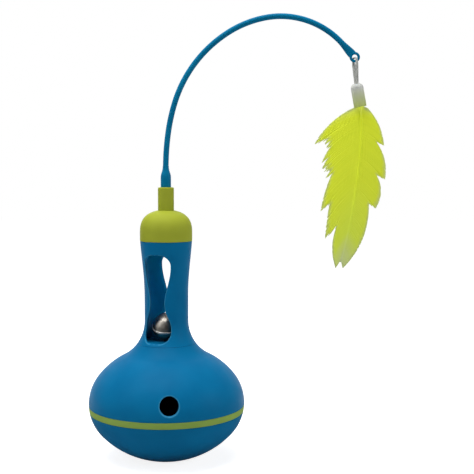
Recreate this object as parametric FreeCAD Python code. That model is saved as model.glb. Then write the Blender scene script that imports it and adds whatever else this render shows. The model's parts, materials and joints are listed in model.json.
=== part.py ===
# Treat dispensing toy for cats: a weighted tumbler with a treat hole, a bell caged in its
# neck, and an arched wand that dangles a feather. Millimetres, +Z up, origin at the centre
# of the flat foot. +X points along the wand's arch and the treat hole is near -Y.
import FreeCAD, Part
import math
import os
from FreeCAD import Vector

# Bulb and neck, outside shape
bulb_radius = 50.0
equator_height = 35.5
foot_radius = 13.4
belly_arc_radius = 27.5
belly_arc_angle = 43.0
shoulder_arc_radius = 28.2
shoulder_arc_end = 38.1
slope_arc_radius = 47.9
slope_arc_end = 63.1
neck_radius = 14.0
waist_length = 15.2
flare_length = 35.8
neck_flare = 2.6
flare_start_share = 0.4
flare_end_share = 0.3
wall = 2.0

# Bulb split, ring and twist lock
split_drop = 5.85
ring_height = 3.5
edge_round = 0.35
skirt_thickness = 2.0
skirt_wall_gap = 0.4
skirt_depth = 7.85
ring_gap = 0.2
flange_thickness = 2.2
lock_count = 3
lock_pin_radius = 1.5
lock_pin_drop = 2.2
lock_slot_gap = 0.25
lock_end_room = 0.15
lock_mouth_room = 0.3
lock_turn = 45.0
lock_rise = 2.0
lock_first_angle = 90.0

# Treat hole
hole_radius = 5.8
hole_rise = 8.3
hole_azimuth = 5.7
hole_round = 0.6

# Neck cage and its windows
collar_drop = 14.8
cage_floor = 1.6
spigot_radius = 14.45
spigot_thickness = 1.8
spigot_depth = 7.0
press_gap = 0.05
collar_thickness = 1.9
collar_cap_thickness = 3.5
collar_cap_overlap = 1.0
window_azimuth = -26.0
window_sill = 0.7
window_lobe_radius = 8.8
window_waist = 6.0
window_waist_rise = 23.1
window_height = 55.1
window_top_width = 8.7
window_corner_radius = 5.5

# Cap
cap_radius = 16.7
cap_side = 6.0
cap_dome_height = 13.5
cap_seat_radius = 5.2
cap_shoulder_fullness = 0.52
cap_crown_reach = 0.62
cap_crown_drop = 1.6
cap_skirt_radius = 13.9
cap_skirt_depth = 6.0
cap_skirt_thickness = 1.7
cap_hub_thickness = 2.1
cap_hub_length = 6.7
cap_crown_thickness = 2.3

# Bell
bell_radius = 8.9
bell_sheet = 0.5
bell_flange = 0.7
bell_flange_sheet = 0.45
bell_flange_round = 0.3
bell_tilt = 20.0
bell_turn = 25.0
bell_slot_width = 2.4
bell_slot_eye = 1.9
bell_slot_reach = 50.0
pellet_radius = 2.6
rest_gap = 0.05

# Weight, its cover and the screws
weight_radius = 24.0
weight_thickness = 7.0
weight_rim_gap = 0.7
weight_seat_radius = 18.0
weight_seat_width = 2.0
weight_chamfer = 0.6
cover_gap = 0.8
cover_thickness = 2.0
cover_lift = 0.8
cover_press_radius = 21.0
cover_press_width = 2.0
cover_round = 0.5
screw_count = 3
screw_circle = 28.2
screw_boss_radius = 3.2
screw_radius = 1.45
screw_gap = 0.05
screw_length = 5.0
screw_end_room = 0.4
screw_head_radius = 2.8
screw_head_height = 1.6
screw_head_round = 0.6
screw_slot_width = 0.7
screw_slot_depth = 0.7

# Wand collar, turning in the cap
collar_radius = 5.1
collar_height = 14.7
collar_round = 0.8
stem_radius = 4.3
running_gap = 0.05
stem_tail = 1.0
clip_thickness = 0.9
clip_radius = 6.2
clip_groove_depth = 0.7
clip_play = 0.1
clip_mouth = 5.0

# Wand foot plug
plug_radius = 3.0
plug_depth = 13.9
plug_end_room = 0.1
plug_collar_radius = 3.28
plug_collar_height = 5.9
plug_taper = 7.6
plug_lip = 0.4
plug_waist_round = 1.2
rod_socket_depth = 7.5

# Wand rod: straight in its plug, then arcs that each turn the rod down to a heading
rod_radius = 1.56
rod_bend_inside = 2.0
rod_arc_radii = [161.1, 120.0, 81.3, 66.5, 54.3]
rod_arc_headings = [81.9, 72.1, 30.9, 13.2, -46.0]
tip_droop = 6.0
tip_length = 12.0
tip_neck_reach = 6.6
tip_neck_half_width = 2.3
tip_neck_half_thickness = 1.1
eye_radius = 3.3
eye_hole_radius = 1.65
eye_thickness = 1.5
eye_inset = 0.1

# Clear hanger loop
loop_wire_radius = 0.45
loop_half_width = 2.5
loop_plane_turn = 55.0
loop_seat_drop = 0.5
loop_corner_radius = 1.3
loop_drop = 16.7
loop_lean = 1.2
loop_foot_half_width = 0.8
loop_tail = 3.0

# Feather holder sleeve
sleeve_radius = 4.0
sleeve_length = 14.7
sleeve_tilt = 10.2
sleeve_shoulder = 2.0
sleeve_shoulder_inset = 1.1
sleeve_bore = 3.1
sleeve_bore_depth = 9.5
sleeve_top_bore = 1.9
sleeve_round = 0.5

# Feather: sizes run across (+X) and down from the sleeve's mouth
feather_thickness = 0.8
feather_camber_radius = 60.0
quill_root_radius = 1.0
quill_tip_radius = 0.3
root_bundle_length = 8.9
root_bundle_gap = 0.1
root_bundle_round = 0.8
quill_reach = 18.0
quill_bend = (-3.0, -70.0)
quill_tip = (-11.6, -96.9)
quill_clearance = 0.04
vane_top_share = 0.02
left_start = (-4.8, -1.5)
right_start = (4.0, -0.2)
# Each lobe: its tip, how far its edge bows out, and the notch that ends it
left_lobes = [
    ((-28.7, -23.7), 2.9, (-21.0, -21.0)),
    ((-22.5, -24.6), 0.2, (-18.7, -21.6)),
    ((-21.4, -26.2), 0.2, (-19.0, -25.9)),
    ((-24.0, -35.4), 0.4, (-20.9, -33.5)),
    ((-23.8, -39.2), 0.2, (-19.7, -38.9)),
    ((-22.4, -41.1), 0.2, (-18.1, -40.5)),
    ((-22.4, -45.8), 0.3, (-17.8, -42.7)),
    ((-24.6, -66.2), 0.8, (-19.0, -61.8)),
    ((-21.8, -84.1), 0.4, (-14.8, -76.9)),
    ((-14.8, -101.6), 2.3, quill_tip),
]
right_lobes = [
    ((15.2, -24.3), 2.4, (10.2, -22.3)),
    ((16.2, -46.2), 2.8, (10.5, -43.1)),
    ((10.2, -64.6), 3.4, (5.9, -61.6)),
    ((-11.9, -103.1), 5.0, quill_tip),
]

# A size larger than the whole toy, and how far a cut runs past a face
beyond = 400.0
cut_margin = 1.0
axis_point = Vector(0, 0, 0)
axis_up = Vector(0, 0, 1)


def radians(angle):
    return math.radians(angle)


def at(radius, height):
    """A point of a half outline, at a radius and a height."""
    return Vector(radius, 0, height)


def on_circle(centre, radius, angle):
    """The point of a circle in the XZ plane, at an angle from +X towards +Z."""
    return centre + Vector(radius * math.cos(radians(angle)), 0, radius * math.sin(radians(angle)))


def line(start, end):
    return Part.LineSegment(start, end).toShape()


def arc(centre, radius, start_angle, end_angle):
    """An arc in the XZ plane between two angles."""
    middle_angle = (start_angle + end_angle) / 2
    start = on_circle(centre, radius, start_angle)
    middle = on_circle(centre, radius, middle_angle)
    end = on_circle(centre, radius, end_angle)
    return Part.Arc(start, middle, end).toShape()


def bezier(points):
    curve = Part.BezierCurve()
    curve.setPoles(points)
    return curve.toShape()


def polyline(points):
    return [line(a, b) for a, b in zip(points[:-1], points[1:])]


def turned(edges):
    """The solid that a closed half outline makes when it is turned about the axis."""
    face = Part.Face(Part.Wire(Part.__sortEdges__(edges)))
    return face.revolve(axis_point, axis_up, 360)


def slab(low, high):
    """Everything between two heights."""
    return Part.makeCylinder(beyond, high - low, at(0, low))


def disc(radius, low, high):
    return Part.makeCylinder(radius, high - low, at(0, low))


def tube(outer, inner, low, high):
    return disc(outer, low, high).cut(disc(inner, low, high))


def spun(shape, angle):
    """A copy turned about the toy's axis."""
    copy = shape.copy()
    copy.rotate(axis_point, axis_up, angle)
    return copy


def fused(shapes):
    """The union of several solids, with its seams cleaned away."""
    return shapes[0].multiFuse(shapes[1:]).removeSplitter()


def solid_of(shape):
    """The one solid that a boolean left."""
    return shape.Solids[0] if len(shape.Solids) == 1 else Part.makeCompound(shape.Solids)


def rims(shape, height, radius):
    """Whole circles of a turned solid at one height and radius."""
    found = []
    for edge in shape.Edges:
        span = edge.LastParameter - edge.FirstParameter
        points = [edge.valueAt(edge.FirstParameter + span * share) for share in (0.1, 0.4, 0.7)]
        level = all(abs(point.z - height) < 0.02 for point in points)
        if level and all(abs(math.hypot(point.x, point.y) - radius) < 0.02 for point in points):
            found.append(edge)
    return found


# Outline of the bulb and neck, from tangent arcs
belly_centre = at(bulb_radius - belly_arc_radius, equator_height)
belly_end = on_circle(belly_centre, belly_arc_radius, -belly_arc_angle)
belly_inward = Vector(-math.cos(radians(belly_arc_angle)), 0, math.sin(radians(belly_arc_angle)))
to_foot = at(foot_radius, 0) - belly_end
keel_arc_radius = to_foot.dot(to_foot) / (2 * to_foot.dot(belly_inward))
keel_centre = belly_end + belly_inward * keel_arc_radius
foot_angle = math.degrees(math.atan2(-keel_centre.z, foot_radius - keel_centre.x))

shoulder_centre = at(bulb_radius - shoulder_arc_radius, equator_height)
shoulder_end = on_circle(shoulder_centre, shoulder_arc_radius, shoulder_arc_end)
slope_centre = on_circle(shoulder_centre, shoulder_arc_radius - slope_arc_radius, shoulder_arc_end)
slope_end = on_circle(slope_centre, slope_arc_radius, slope_arc_end)
root_arc_radius = (slope_end.x - neck_radius) / (1 - math.cos(radians(slope_arc_end)))
root_centre = on_circle(slope_end, root_arc_radius, slope_arc_end)

neck_base_z = root_centre.z
waist_top_z = neck_base_z + waist_length
seam_z = waist_top_z + flare_length
neck_top_radius = neck_radius + neck_flare


def body_outline(inset):
    """Half outline of bulb and neck, moved inwards by a wall's thickness."""
    foot = on_circle(keel_centre, keel_arc_radius - inset, foot_angle)
    neck_low = at(neck_radius - inset, neck_base_z)
    neck_high = at(neck_radius - inset, waist_top_z)
    top = at(neck_top_radius - inset, seam_z)
    flare_start = at(neck_radius - inset, waist_top_z + flare_start_share * flare_length)
    flare_end = at(neck_top_radius - inset - flare_end_share * neck_flare, seam_z - flare_end_share * flare_length)
    return [
        line(at(0, foot.z), foot),
        arc(keel_centre, keel_arc_radius - inset, foot_angle, -belly_arc_angle),
        arc(belly_centre, belly_arc_radius - inset, -belly_arc_angle, 0),
        arc(shoulder_centre, shoulder_arc_radius - inset, 0, shoulder_arc_end),
        arc(slope_centre, slope_arc_radius - inset, shoulder_arc_end, slope_arc_end),
        arc(root_centre, root_arc_radius + inset, 180 + slope_arc_end, 180),
        line(neck_low, neck_high),
        bezier([neck_high, flare_start, flare_end, top]),
        line(top, at(0, seam_z)),
        line(at(0, seam_z), at(0, foot.z)),
    ]


body_outside = turned(body_outline(0.0))
body_inside = turned(body_outline(wall))
body_shell = body_outside.cut(body_inside)

# Heights that several pieces share
ring_low_z = equator_height - split_drop
ring_high_z = ring_low_z + ring_height
hole_z = equator_height + hole_rise
skirt_low_z = ring_low_z - skirt_depth
cage_base_z = neck_base_z - collar_drop
floor_z = cage_base_z + cage_floor


def wall_inside_radius(height):
    """Radius of the bulb's inner face below the equator."""
    rise = height - belly_centre.z
    return belly_centre.x + math.sqrt((belly_arc_radius - wall) ** 2 - rise ** 2)


def keel_inside_height(radius):
    """Height of the bowl's inner face near its middle."""
    reach = radius - keel_centre.x
    return keel_centre.z - math.sqrt((keel_arc_radius - wall) ** 2 - reach ** 2)


def keel_inside_radius(height):
    """Radius of the bowl's inner face low down."""
    drop = height - keel_centre.z
    return keel_centre.x + math.sqrt((keel_arc_radius - wall) ** 2 - drop ** 2)


skirt_radius = wall_inside_radius(skirt_low_z) - skirt_wall_gap
skirt_bore = skirt_radius - skirt_thickness
lock_pin_z = ring_low_z - lock_pin_drop
weight_low_z = keel_inside_height(weight_radius) + weight_rim_gap
weight_top_z = weight_low_z + weight_thickness
cover_z = weight_top_z + cover_lift
cover_top_z = cover_z + cover_thickness


def lock_pins():
    """Stub pins that stand inwards from the bowl's wall."""
    inner_end = skirt_bore + 0.3 * skirt_thickness
    outer_end = wall_inside_radius(lock_pin_z) + wall / 2
    pin = Part.makeCylinder(lock_pin_radius, outer_end - inner_end, at(inner_end, lock_pin_z), Vector(1, 0, 0))
    return [spun(pin, lock_first_angle + k * 360.0 / lock_count) for k in range(lock_count)]


def lock_slot():
    """The cuts of one slot: a helical stretch, a roomier round at both ends, a way in from below."""
    half = lock_pin_radius + lock_slot_gap
    round_end = half + lock_end_room
    mouth = round_end + lock_mouth_room
    inner = skirt_bore - cut_margin
    outer = skirt_radius + cut_margin
    helix = Part.makeHelix(lock_rise * 360.0 / lock_turn, lock_rise, skirt_radius)
    corners = [at(inner, -half), at(outer, -half), at(outer, half), at(inner, half), at(inner, -half)]
    ramp = Part.Wire(helix).makePipeShell([Part.Wire(polyline(corners))], True, True)
    drop = lock_pin_z - lock_rise - skirt_low_z + cut_margin
    way_in = Part.makeBox(outer - inner, 2 * mouth, drop, Vector(inner, -mouth, -drop))
    cuts = [ramp, way_in]
    for turn, rise in ((0.0, 0.0), (lock_turn, lock_rise)):
        end = Part.makeCylinder(round_end, outer - inner, at(inner, rise), Vector(1, 0, 0))
        cuts.append(spun(end, turn))
    for cut in cuts:
        cut.translate(at(0, lock_pin_z - lock_rise))
    return [spun(cut, -lock_turn) for cut in cuts]


def screw_places():
    """Angles of the weight cover's screws, between the lock pins."""
    half_step = 180.0 / screw_count
    return [lock_first_angle + half_step + k * 360.0 / screw_count for k in range(screw_count)]


def base_bowl():
    """Lower shell: round foot, seat for the weight, screw bosses and lock pins."""
    bowl = body_shell.common(slab(-cut_margin, ring_low_z))
    foot_inside = keel_inside_height(weight_seat_radius) - wall / 2
    seat_inner = weight_seat_radius - weight_seat_width / 2
    seat_outer = weight_seat_radius + weight_seat_width / 2
    seat = tube(seat_outer, seat_inner, foot_inside, weight_low_z)
    bosses = []
    holes = []
    for angle in screw_places():
        low = keel_inside_height(screw_circle - screw_boss_radius) - wall / 4
        boss = Part.makeCylinder(screw_boss_radius, cover_z - low, at(screw_circle, low))
        hole_low = cover_z - screw_length
        hole = Part.makeCylinder(screw_radius + screw_gap, screw_length + cut_margin, at(screw_circle, hole_low))
        bosses.append(spun(boss, angle))
        holes.append(spun(hole, angle))
    inside_of_wall = body_outside.common(slab(-cut_margin, ring_low_z))
    inner_parts = Part.makeCompound([seat] + bosses + lock_pins()).common(inside_of_wall)
    bowl = fused([bowl] + inner_parts.Solids)
    bowl = bowl.cut(Part.makeCompound(holes))
    rim = rims(bowl, ring_low_z, outside_radius(ring_low_z))
    return solid_of(bowl.makeFillet(edge_round, rim))


def outside_radius(height):
    """Outer radius of the bulb near its equator."""
    below = height < equator_height
    centre = belly_centre if below else shoulder_centre
    radius = belly_arc_radius if below else shoulder_arc_radius
    return centre.x + math.sqrt(radius ** 2 - (height - equator_height) ** 2)


def base_weight():
    """Cast disc that keeps the toy upright."""
    weight = disc(weight_radius, weight_low_z, weight_top_z)
    edges = rims(weight, weight_top_z, weight_radius) + rims(weight, weight_low_z, weight_radius)
    return solid_of(weight.makeChamfer(weight_chamfer, edges))


def weight_cover():
    """Disc over the weight: the floor that the treats lie on."""
    cover_radius = keel_inside_radius(cover_z) - cover_gap
    press_outer = cover_press_radius + cover_press_width / 2
    press_inner = cover_press_radius - cover_press_width / 2
    cover = disc(cover_radius, cover_z, cover_top_z)
    cover = fused([cover, tube(press_outer, press_inner, weight_top_z, cover_z + cover_thickness / 2)])
    for angle in screw_places():
        hole = Part.makeCylinder(screw_radius + screw_gap, beyond, at(screw_circle, 0))
        cover = cover.cut(spun(hole, angle))
    return solid_of(cover.makeFillet(cover_round, rims(cover, cover_top_z, cover_radius)))


def weight_screws():
    """Pan head screws that hold the cover down on the bosses."""
    shank_low = cover_z - screw_length + screw_end_room
    shank = Part.makeCylinder(screw_radius, cover_top_z - shank_low, at(0, shank_low))
    head = disc(screw_head_radius, cover_top_z, cover_top_z + screw_head_height)
    head = head.makeFillet(screw_head_round, rims(head, cover_top_z + screw_head_height, screw_head_radius))
    screw = shank.fuse(head).removeSplitter()
    top = cover_top_z + screw_head_height
    slot_low = at(-beyond / 2, top - screw_slot_depth) + Vector(0, -screw_slot_width / 2, 0)
    screw = screw.cut(Part.makeBox(beyond, screw_slot_width, 2 * screw_slot_depth, slot_low))
    screws = []
    for angle in screw_places():
        placed = solid_of(screw).copy()
        placed.translate(at(screw_circle, 0))
        screws.append(spun(placed, angle))
    return Part.makeCompound(screws)


def accent_ring():
    """Coloured ring clamped between the two halves of the bulb."""
    ring = body_outside.common(slab(ring_low_z, ring_high_z))
    ring = ring.cut(disc(skirt_radius + ring_gap, 0, beyond))
    edges = rims(ring, ring_low_z, outside_radius(ring_low_z))
    edges += rims(ring, ring_high_z, outside_radius(ring_high_z))
    return solid_of(ring.makeFillet(edge_round, edges))


def bulb_shell():
    """Upper shell of the bulb, with the treat hole, the lock's skirt and a collar on top."""
    shell = body_shell.common(slab(ring_high_z, cage_base_z))
    flange_high = ring_high_z + flange_thickness
    flange = body_outside.common(slab(ring_high_z, flange_high)).cut(disc(skirt_bore, 0, beyond))
    skirt = tube(skirt_radius, skirt_bore, skirt_low_z, ring_high_z + flange_thickness / 2)
    collar_bore = spigot_radius + press_gap
    crown = body_outside.common(slab(cage_base_z - collar_cap_thickness, cage_base_z))
    crown = crown.cut(disc(collar_bore, 0, beyond))
    collar_low = cage_base_z - spigot_depth
    collar = tube(collar_bore + collar_thickness, collar_bore, collar_low, cage_base_z - collar_cap_overlap)
    shell = fused([shell, flange, skirt, crown, collar])
    for k in range(lock_count):
        for cut in lock_slot():
            shell = shell.cut(spun(cut, lock_first_angle + k * 360.0 / lock_count))
    shell = shell.makeFillet(edge_round, rims(shell, ring_high_z, outside_radius(ring_high_z)))
    hole = Part.makeCylinder(hole_radius, beyond, at(0, hole_z), Vector(0, -1, 0))
    shell = shell.cut(spun(hole, hole_azimuth))
    return solid_of(shell.makeFillet(hole_round, hole_rim(shell)))


def hole_rim(shell):
    """The outer edge of the treat hole."""
    turn = radians(hole_azimuth)
    across = Vector(math.cos(turn), math.sin(turn), 0)
    found = []
    for edge in shell.Edges:
        middle = edge.valueAt((edge.FirstParameter + edge.LastParameter) / 2)
        in_hole = abs(math.hypot(middle.dot(across), middle.z - hole_z) - hole_radius) < 0.01
        if in_hole and abs(math.hypot(middle.x, middle.y) - outside_radius(middle.z)) < 0.05:
            found.append(edge)
    return found


def window_outline():
    """Keyhole window in the XZ plane: round lobe below, waist, wider top with round corners."""
    low = floor_z + window_sill
    lobe = at(0, low + window_lobe_radius)
    waist = at(window_waist, low + window_waist_rise)
    high = low + window_height
    corner = at(window_top_width - window_corner_radius, high - window_corner_radius)
    lower_rise = waist.z - lobe.z
    lower_reach = window_waist ** 2 + lower_rise ** 2 - window_lobe_radius ** 2
    lower_radius = lower_reach / (2 * (window_lobe_radius - window_waist))
    lower_centre = at(window_waist + lower_radius, waist.z)
    upper_step = window_waist - corner.x
    upper_rise = corner.z - waist.z
    upper_reach = upper_step ** 2 + upper_rise ** 2 - window_corner_radius ** 2
    upper_radius = upper_reach / (2 * (window_corner_radius - upper_step))
    upper_centre = at(window_waist + upper_radius, waist.z)
    lobe_angle = math.degrees(math.atan2(lower_centre.z - lobe.z, lower_centre.x - lobe.x))
    corner_angle = math.degrees(math.atan2(upper_centre.z - corner.z, upper_centre.x - corner.x))
    right = [
        arc(lobe, window_lobe_radius, -90, lobe_angle),
        arc(lower_centre, lower_radius, 180 + lobe_angle, 180),
        arc(upper_centre, upper_radius, 180, 180 + corner_angle),
        arc(corner, window_corner_radius, corner_angle, 90),
        line(at(corner.x, high), at(0, high)),
    ]
    left = [edge.mirror(axis_point, Vector(1, 0, 0)) for edge in right]
    return right + left


def neck_cage():
    """Neck tube with a floor for the bell, two windows and a spigot that plugs the bulb."""
    neck = body_shell.common(slab(cage_base_z, seam_z))
    floor = body_outside.common(slab(cage_base_z, floor_z))
    spigot_bore = spigot_radius - spigot_thickness
    spigot = tube(spigot_radius, spigot_bore, cage_base_z - spigot_depth, floor_z - cage_floor / 2)
    neck = fused([neck, floor, spigot])
    face = Part.Face(Part.Wire(Part.__sortEdges__(window_outline())))
    prism = face.extrude(Vector(0, beyond, 0))
    prism.translate(Vector(0, -beyond / 2, 0))
    neck = neck.cut(spun(prism, window_azimuth))
    return solid_of(neck.makeFillet(edge_round, rims(neck, seam_z, neck_top_radius)))


# Cap heights
dome_z = seam_z + cap_side
cap_top_z = dome_z + cap_dome_height
hub_bore = stem_radius + running_gap
hub_radius = hub_bore + cap_hub_thickness
hub_low_z = cap_top_z - cap_hub_length
stem_low_z = hub_low_z - clip_play - clip_thickness - stem_tail


def dome_curve(side_radius, crown_radius, low, high):
    """Half outline of a dome: upright at its side, nearly level at its crown."""
    rise = high - low
    crown_lead = crown_radius + cap_crown_reach * (side_radius - crown_radius)
    return bezier([
        at(side_radius, low),
        at(side_radius, low + cap_shoulder_fullness * rise),
        at(crown_lead, high - cap_crown_drop),
        at(crown_radius, high),
    ])


def cap():
    """Domed cap with a skirt that plugs the neck and a hub that the wand's collar turns in."""
    skirt_inner = cap_skirt_radius - cap_skirt_thickness
    deck_z = seam_z + wall
    inner_top_z = cap_top_z - cap_crown_thickness
    outer = dome_curve(cap_radius, cap_seat_radius, dome_z, cap_top_z)
    inner = dome_curve(cap_radius - wall, hub_radius, dome_z, inner_top_z)
    edges = [outer, inner]
    edges += polyline([at(cap_seat_radius, cap_top_z), at(hub_bore, cap_top_z), at(hub_bore, hub_low_z),
                       at(hub_radius, hub_low_z), at(hub_radius, inner_top_z)])
    edges += polyline([at(cap_radius - wall, dome_z), at(cap_radius - wall, deck_z), at(skirt_inner, deck_z),
                       at(skirt_inner, seam_z - cap_skirt_depth), at(cap_skirt_radius, seam_z - cap_skirt_depth),
                       at(cap_skirt_radius, seam_z), at(cap_radius, seam_z), at(cap_radius, dome_z)])
    shape = turned(edges)
    shape = shape.makeFillet(edge_round, rims(shape, seam_z, cap_radius))
    return solid_of(shape)


def bell_half(upper):
    """One half of the jingle bell, with its flange, in the bell's own frame."""
    ball = Part.makeSphere(bell_radius).cut(Part.makeSphere(bell_radius - bell_sheet))
    side = 1 if upper else -1
    half_space = Part.makeBox(beyond, beyond, beyond, Vector(-beyond / 2, -beyond / 2, 0))
    if not upper:
        half_space.translate(Vector(0, 0, -beyond))
    flange_low = 0 if upper else -bell_flange_sheet
    flange = tube(bell_radius + bell_flange, bell_radius - bell_sheet / 2, flange_low, flange_low + bell_flange_sheet)
    half = fused([ball.common(half_space), flange])
    outer_rim = rims(half, side * bell_flange_sheet, bell_radius + bell_flange)
    half = half.makeFillet(bell_flange_round, outer_rim)
    if not upper:
        for angle in (0, 90):
            half = half.cut(spun(bell_slot(), angle))
    return solid_of(half)


def bell_slot():
    """A slot across the bell's bottom with a round eye at each end."""
    reach = bell_radius * math.sin(radians(bell_slot_reach))
    depth = bell_radius * math.cos(radians(bell_slot_reach)) * 0.4
    box_corner = Vector(-reach, -bell_slot_width / 2, -2 * bell_radius)
    tool = Part.makeBox(2 * reach, bell_slot_width, 2 * bell_radius - depth, box_corner)
    eyes = []
    for side in (-1, 1):
        eye = Part.makeCylinder(bell_slot_eye, 2 * bell_radius - depth, Vector(side * reach, 0, -2 * bell_radius))
        eyes.append(eye)
    return tool.multiFuse(eyes)


bell_centre = at(0, floor_z + bell_radius + rest_gap)


def in_cage(shape):
    """A bell piece, leaned towards the viewer and set down on the cage's floor."""
    placed = shape.copy()
    placed.rotate(axis_point, axis_up, bell_turn)
    placed.rotate(axis_point, Vector(1, 0, 0), bell_tilt)
    placed.translate(bell_centre)
    return placed


def bell_pellet():
    """Loose ball that rings the bell, at the bottom of its inside."""
    drop = bell_radius - bell_sheet - pellet_radius - rest_gap
    return Part.makeSphere(pellet_radius, bell_centre - at(0, drop))


collar_top_z = cap_top_z + collar_height
plug_bore = plug_radius + running_gap
bore_low_z = collar_top_z - plug_depth - plug_end_room


def wand_collar():
    """Collar that holds the wand and turns in the cap's hub."""
    groove_high = hub_low_z - clip_play
    groove_low = groove_high - clip_thickness
    groove_radius = stem_radius - clip_groove_depth
    round_centre = at(collar_radius - collar_round, collar_top_z - collar_round)
    edges = polyline([at(0, stem_low_z), at(stem_radius, stem_low_z), at(stem_radius, groove_low),
                      at(groove_radius, groove_low), at(groove_radius, groove_high),
                      at(stem_radius, groove_high), at(stem_radius, cap_top_z), at(collar_radius, cap_top_z),
                      at(collar_radius, collar_top_z - collar_round)])
    edges.append(arc(round_centre, collar_round, 0, 90))
    edges += polyline([at(collar_radius - collar_round, collar_top_z), at(plug_bore, collar_top_z),
                       at(plug_bore, bore_low_z), at(0, bore_low_z), at(0, stem_low_z)])
    return turned(edges)


def collar_clip():
    """Open spring clip in the stem's groove, under the hub."""
    high = hub_low_z - clip_play
    low = high - clip_thickness
    inner = stem_radius - clip_groove_depth + running_gap
    ring = tube(clip_radius, inner, low, high)
    mouth = Part.makeBox(beyond, clip_mouth, clip_thickness * 2, Vector(0, -clip_mouth / 2, low - clip_thickness / 2))
    return solid_of(ring.cut(mouth))


# Wand heights and the rod's route
plug_shoulder_z = collar_top_z
taper_z = plug_shoulder_z + plug_collar_height
plug_top_z = taper_z + plug_taper
rod_start_z = plug_top_z - plug_taper - rod_socket_depth
rod_bend_z = plug_top_z - rod_bend_inside


def wand_plug():
    """Foot of the wand: shank in the collar, shoulder on its rim, taper gripping the rod."""
    socket = rod_radius + running_gap
    lip = socket + plug_lip
    shank_low = plug_shoulder_z - plug_depth
    edges = polyline([at(0, shank_low), at(plug_radius, shank_low), at(plug_radius, plug_shoulder_z),
                      at(plug_collar_radius, plug_shoulder_z), at(plug_collar_radius, taper_z), at(lip, plug_top_z),
                      at(socket, plug_top_z), at(socket, rod_start_z), at(0, rod_start_z), at(0, shank_low)])
    shape = turned(edges)
    return solid_of(shape.makeFillet(plug_waist_round, rims(shape, taper_z, plug_collar_radius)))


def rod_route():
    """Edges of the rod's centre line, and the point and heading where it ends."""
    edges = [line(at(0, rod_start_z), at(0, rod_bend_z))]
    point = at(0, rod_bend_z)
    heading = 90.0
    for radius, end_heading in zip(rod_arc_radii, rod_arc_headings):
        centre = on_circle(point, radius, heading - 90)
        edges.append(arc(centre, radius, heading + 90, end_heading + 90))
        point = on_circle(centre, radius, end_heading + 90)
        heading = end_heading
    return edges, point, heading


rod_edges, rod_end, rod_heading = rod_route()
tip_heading = rod_heading - tip_droop
eye_centre = on_circle(rod_end, tip_length, tip_heading)


def wand_rod():
    """Springy round rod of the arch."""
    section = Part.Wire(Part.makeCircle(rod_radius, at(0, rod_start_z), axis_up))
    return Part.Wire(rod_edges).makePipeShell([section], True, False)


def ellipse_wire(centre, heading, half_width, half_thickness):
    """An ellipse square to a heading in the XZ plane, its width in that plane."""
    forward = on_circle(axis_point, 1.0, heading)
    across = on_circle(axis_point, 1.0, heading + 90)
    if half_width > half_thickness:
        curve = Part.Ellipse(centre + across * half_width, centre + Vector(0, half_thickness, 0), centre)
        return Part.Wire(curve.toShape())
    return Part.Wire(Part.makeCircle(half_width, centre, forward))


def tip_eye():
    """End of the wand: the rod widens into a flat eye."""
    half = eye_thickness / 2
    start = Part.Wire(Part.makeCircle(rod_radius, rod_end, on_circle(axis_point, 1.0, rod_heading)))
    middle = on_circle(rod_end, tip_neck_reach, tip_heading)
    sections = [start, ellipse_wire(middle, tip_heading, tip_neck_half_width, tip_neck_half_thickness)]
    sections.append(ellipse_wire(eye_centre, tip_heading, eye_radius - eye_inset, half - eye_inset / 2))
    flare = Part.makeLoft(sections, True, True)
    disc_shape = Part.makeCylinder(eye_radius, eye_thickness, eye_centre - Vector(0, half, 0), Vector(0, 1, 0))
    hole = Part.makeCylinder(eye_hole_radius, 4 * eye_thickness, eye_centre - Vector(0, 2 * eye_thickness, 0),
                             Vector(0, 1, 0))
    eye = flare.fuse(disc_shape).cut(hole)
    return solid_of(eye)


loop_pivot = eye_centre - at(0, loop_seat_drop)
sleeve_top = eye_centre + at(loop_lean, -loop_drop)
sleeve_down = Vector(math.sin(radians(sleeve_tilt)), 0, -math.cos(radians(sleeve_tilt)))
sleeve_mouth = sleeve_top + sleeve_down * sleeve_length


def hanger_loop():
    """Clear filament loop through the eye, both ends held in the sleeve."""
    turn = radians(loop_plane_turn)
    side = Vector(math.cos(turn), -math.sin(turn), 0)
    hang = sleeve_top - loop_pivot
    foot_depth = hang.Length + loop_tail
    down = hang.normalize()
    corner_across = loop_half_width - loop_corner_radius
    to_foot_across = loop_foot_half_width - corner_across
    to_foot_depth = foot_depth - loop_corner_radius
    reach = math.hypot(to_foot_across, to_foot_depth)
    touch = math.atan2(to_foot_depth, to_foot_across) - math.acos(loop_corner_radius / reach)
    middle_angle = (touch - math.pi / 2) / 2

    def place(hand, across, depth):
        return loop_pivot + side * (hand * across) + down * depth

    def corner(hand, angle):
        across = corner_across + loop_corner_radius * math.cos(angle)
        return place(hand, across, loop_corner_radius + loop_corner_radius * math.sin(angle))

    edges = []
    for hand in (-1, 1):
        touch_point = corner(hand, touch)
        edges.append(line(place(hand, loop_foot_half_width, foot_depth), touch_point))
        top = corner(hand, -math.pi / 2)
        edges.append(Part.Arc(touch_point, corner(hand, middle_angle), top).toShape())
    edges.append(line(corner(-1, -math.pi / 2), corner(1, -math.pi / 2)))
    path = Part.Wire(Part.__sortEdges__(edges))
    ends = path.OrderedVertexes
    direction = ends[1].Point - ends[0].Point
    section = Part.Wire(Part.makeCircle(loop_wire_radius, ends[0].Point, direction))
    return path.makePipeShell([section], True, False)


def beside_sleeve(shape):
    """A piece turned upright at the origin, leaned over and moved to the sleeve's mouth."""
    placed = shape.copy()
    placed.rotate(axis_point, Vector(0, 1, 0), -sleeve_tilt)
    placed.translate(sleeve_mouth)
    return placed


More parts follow.
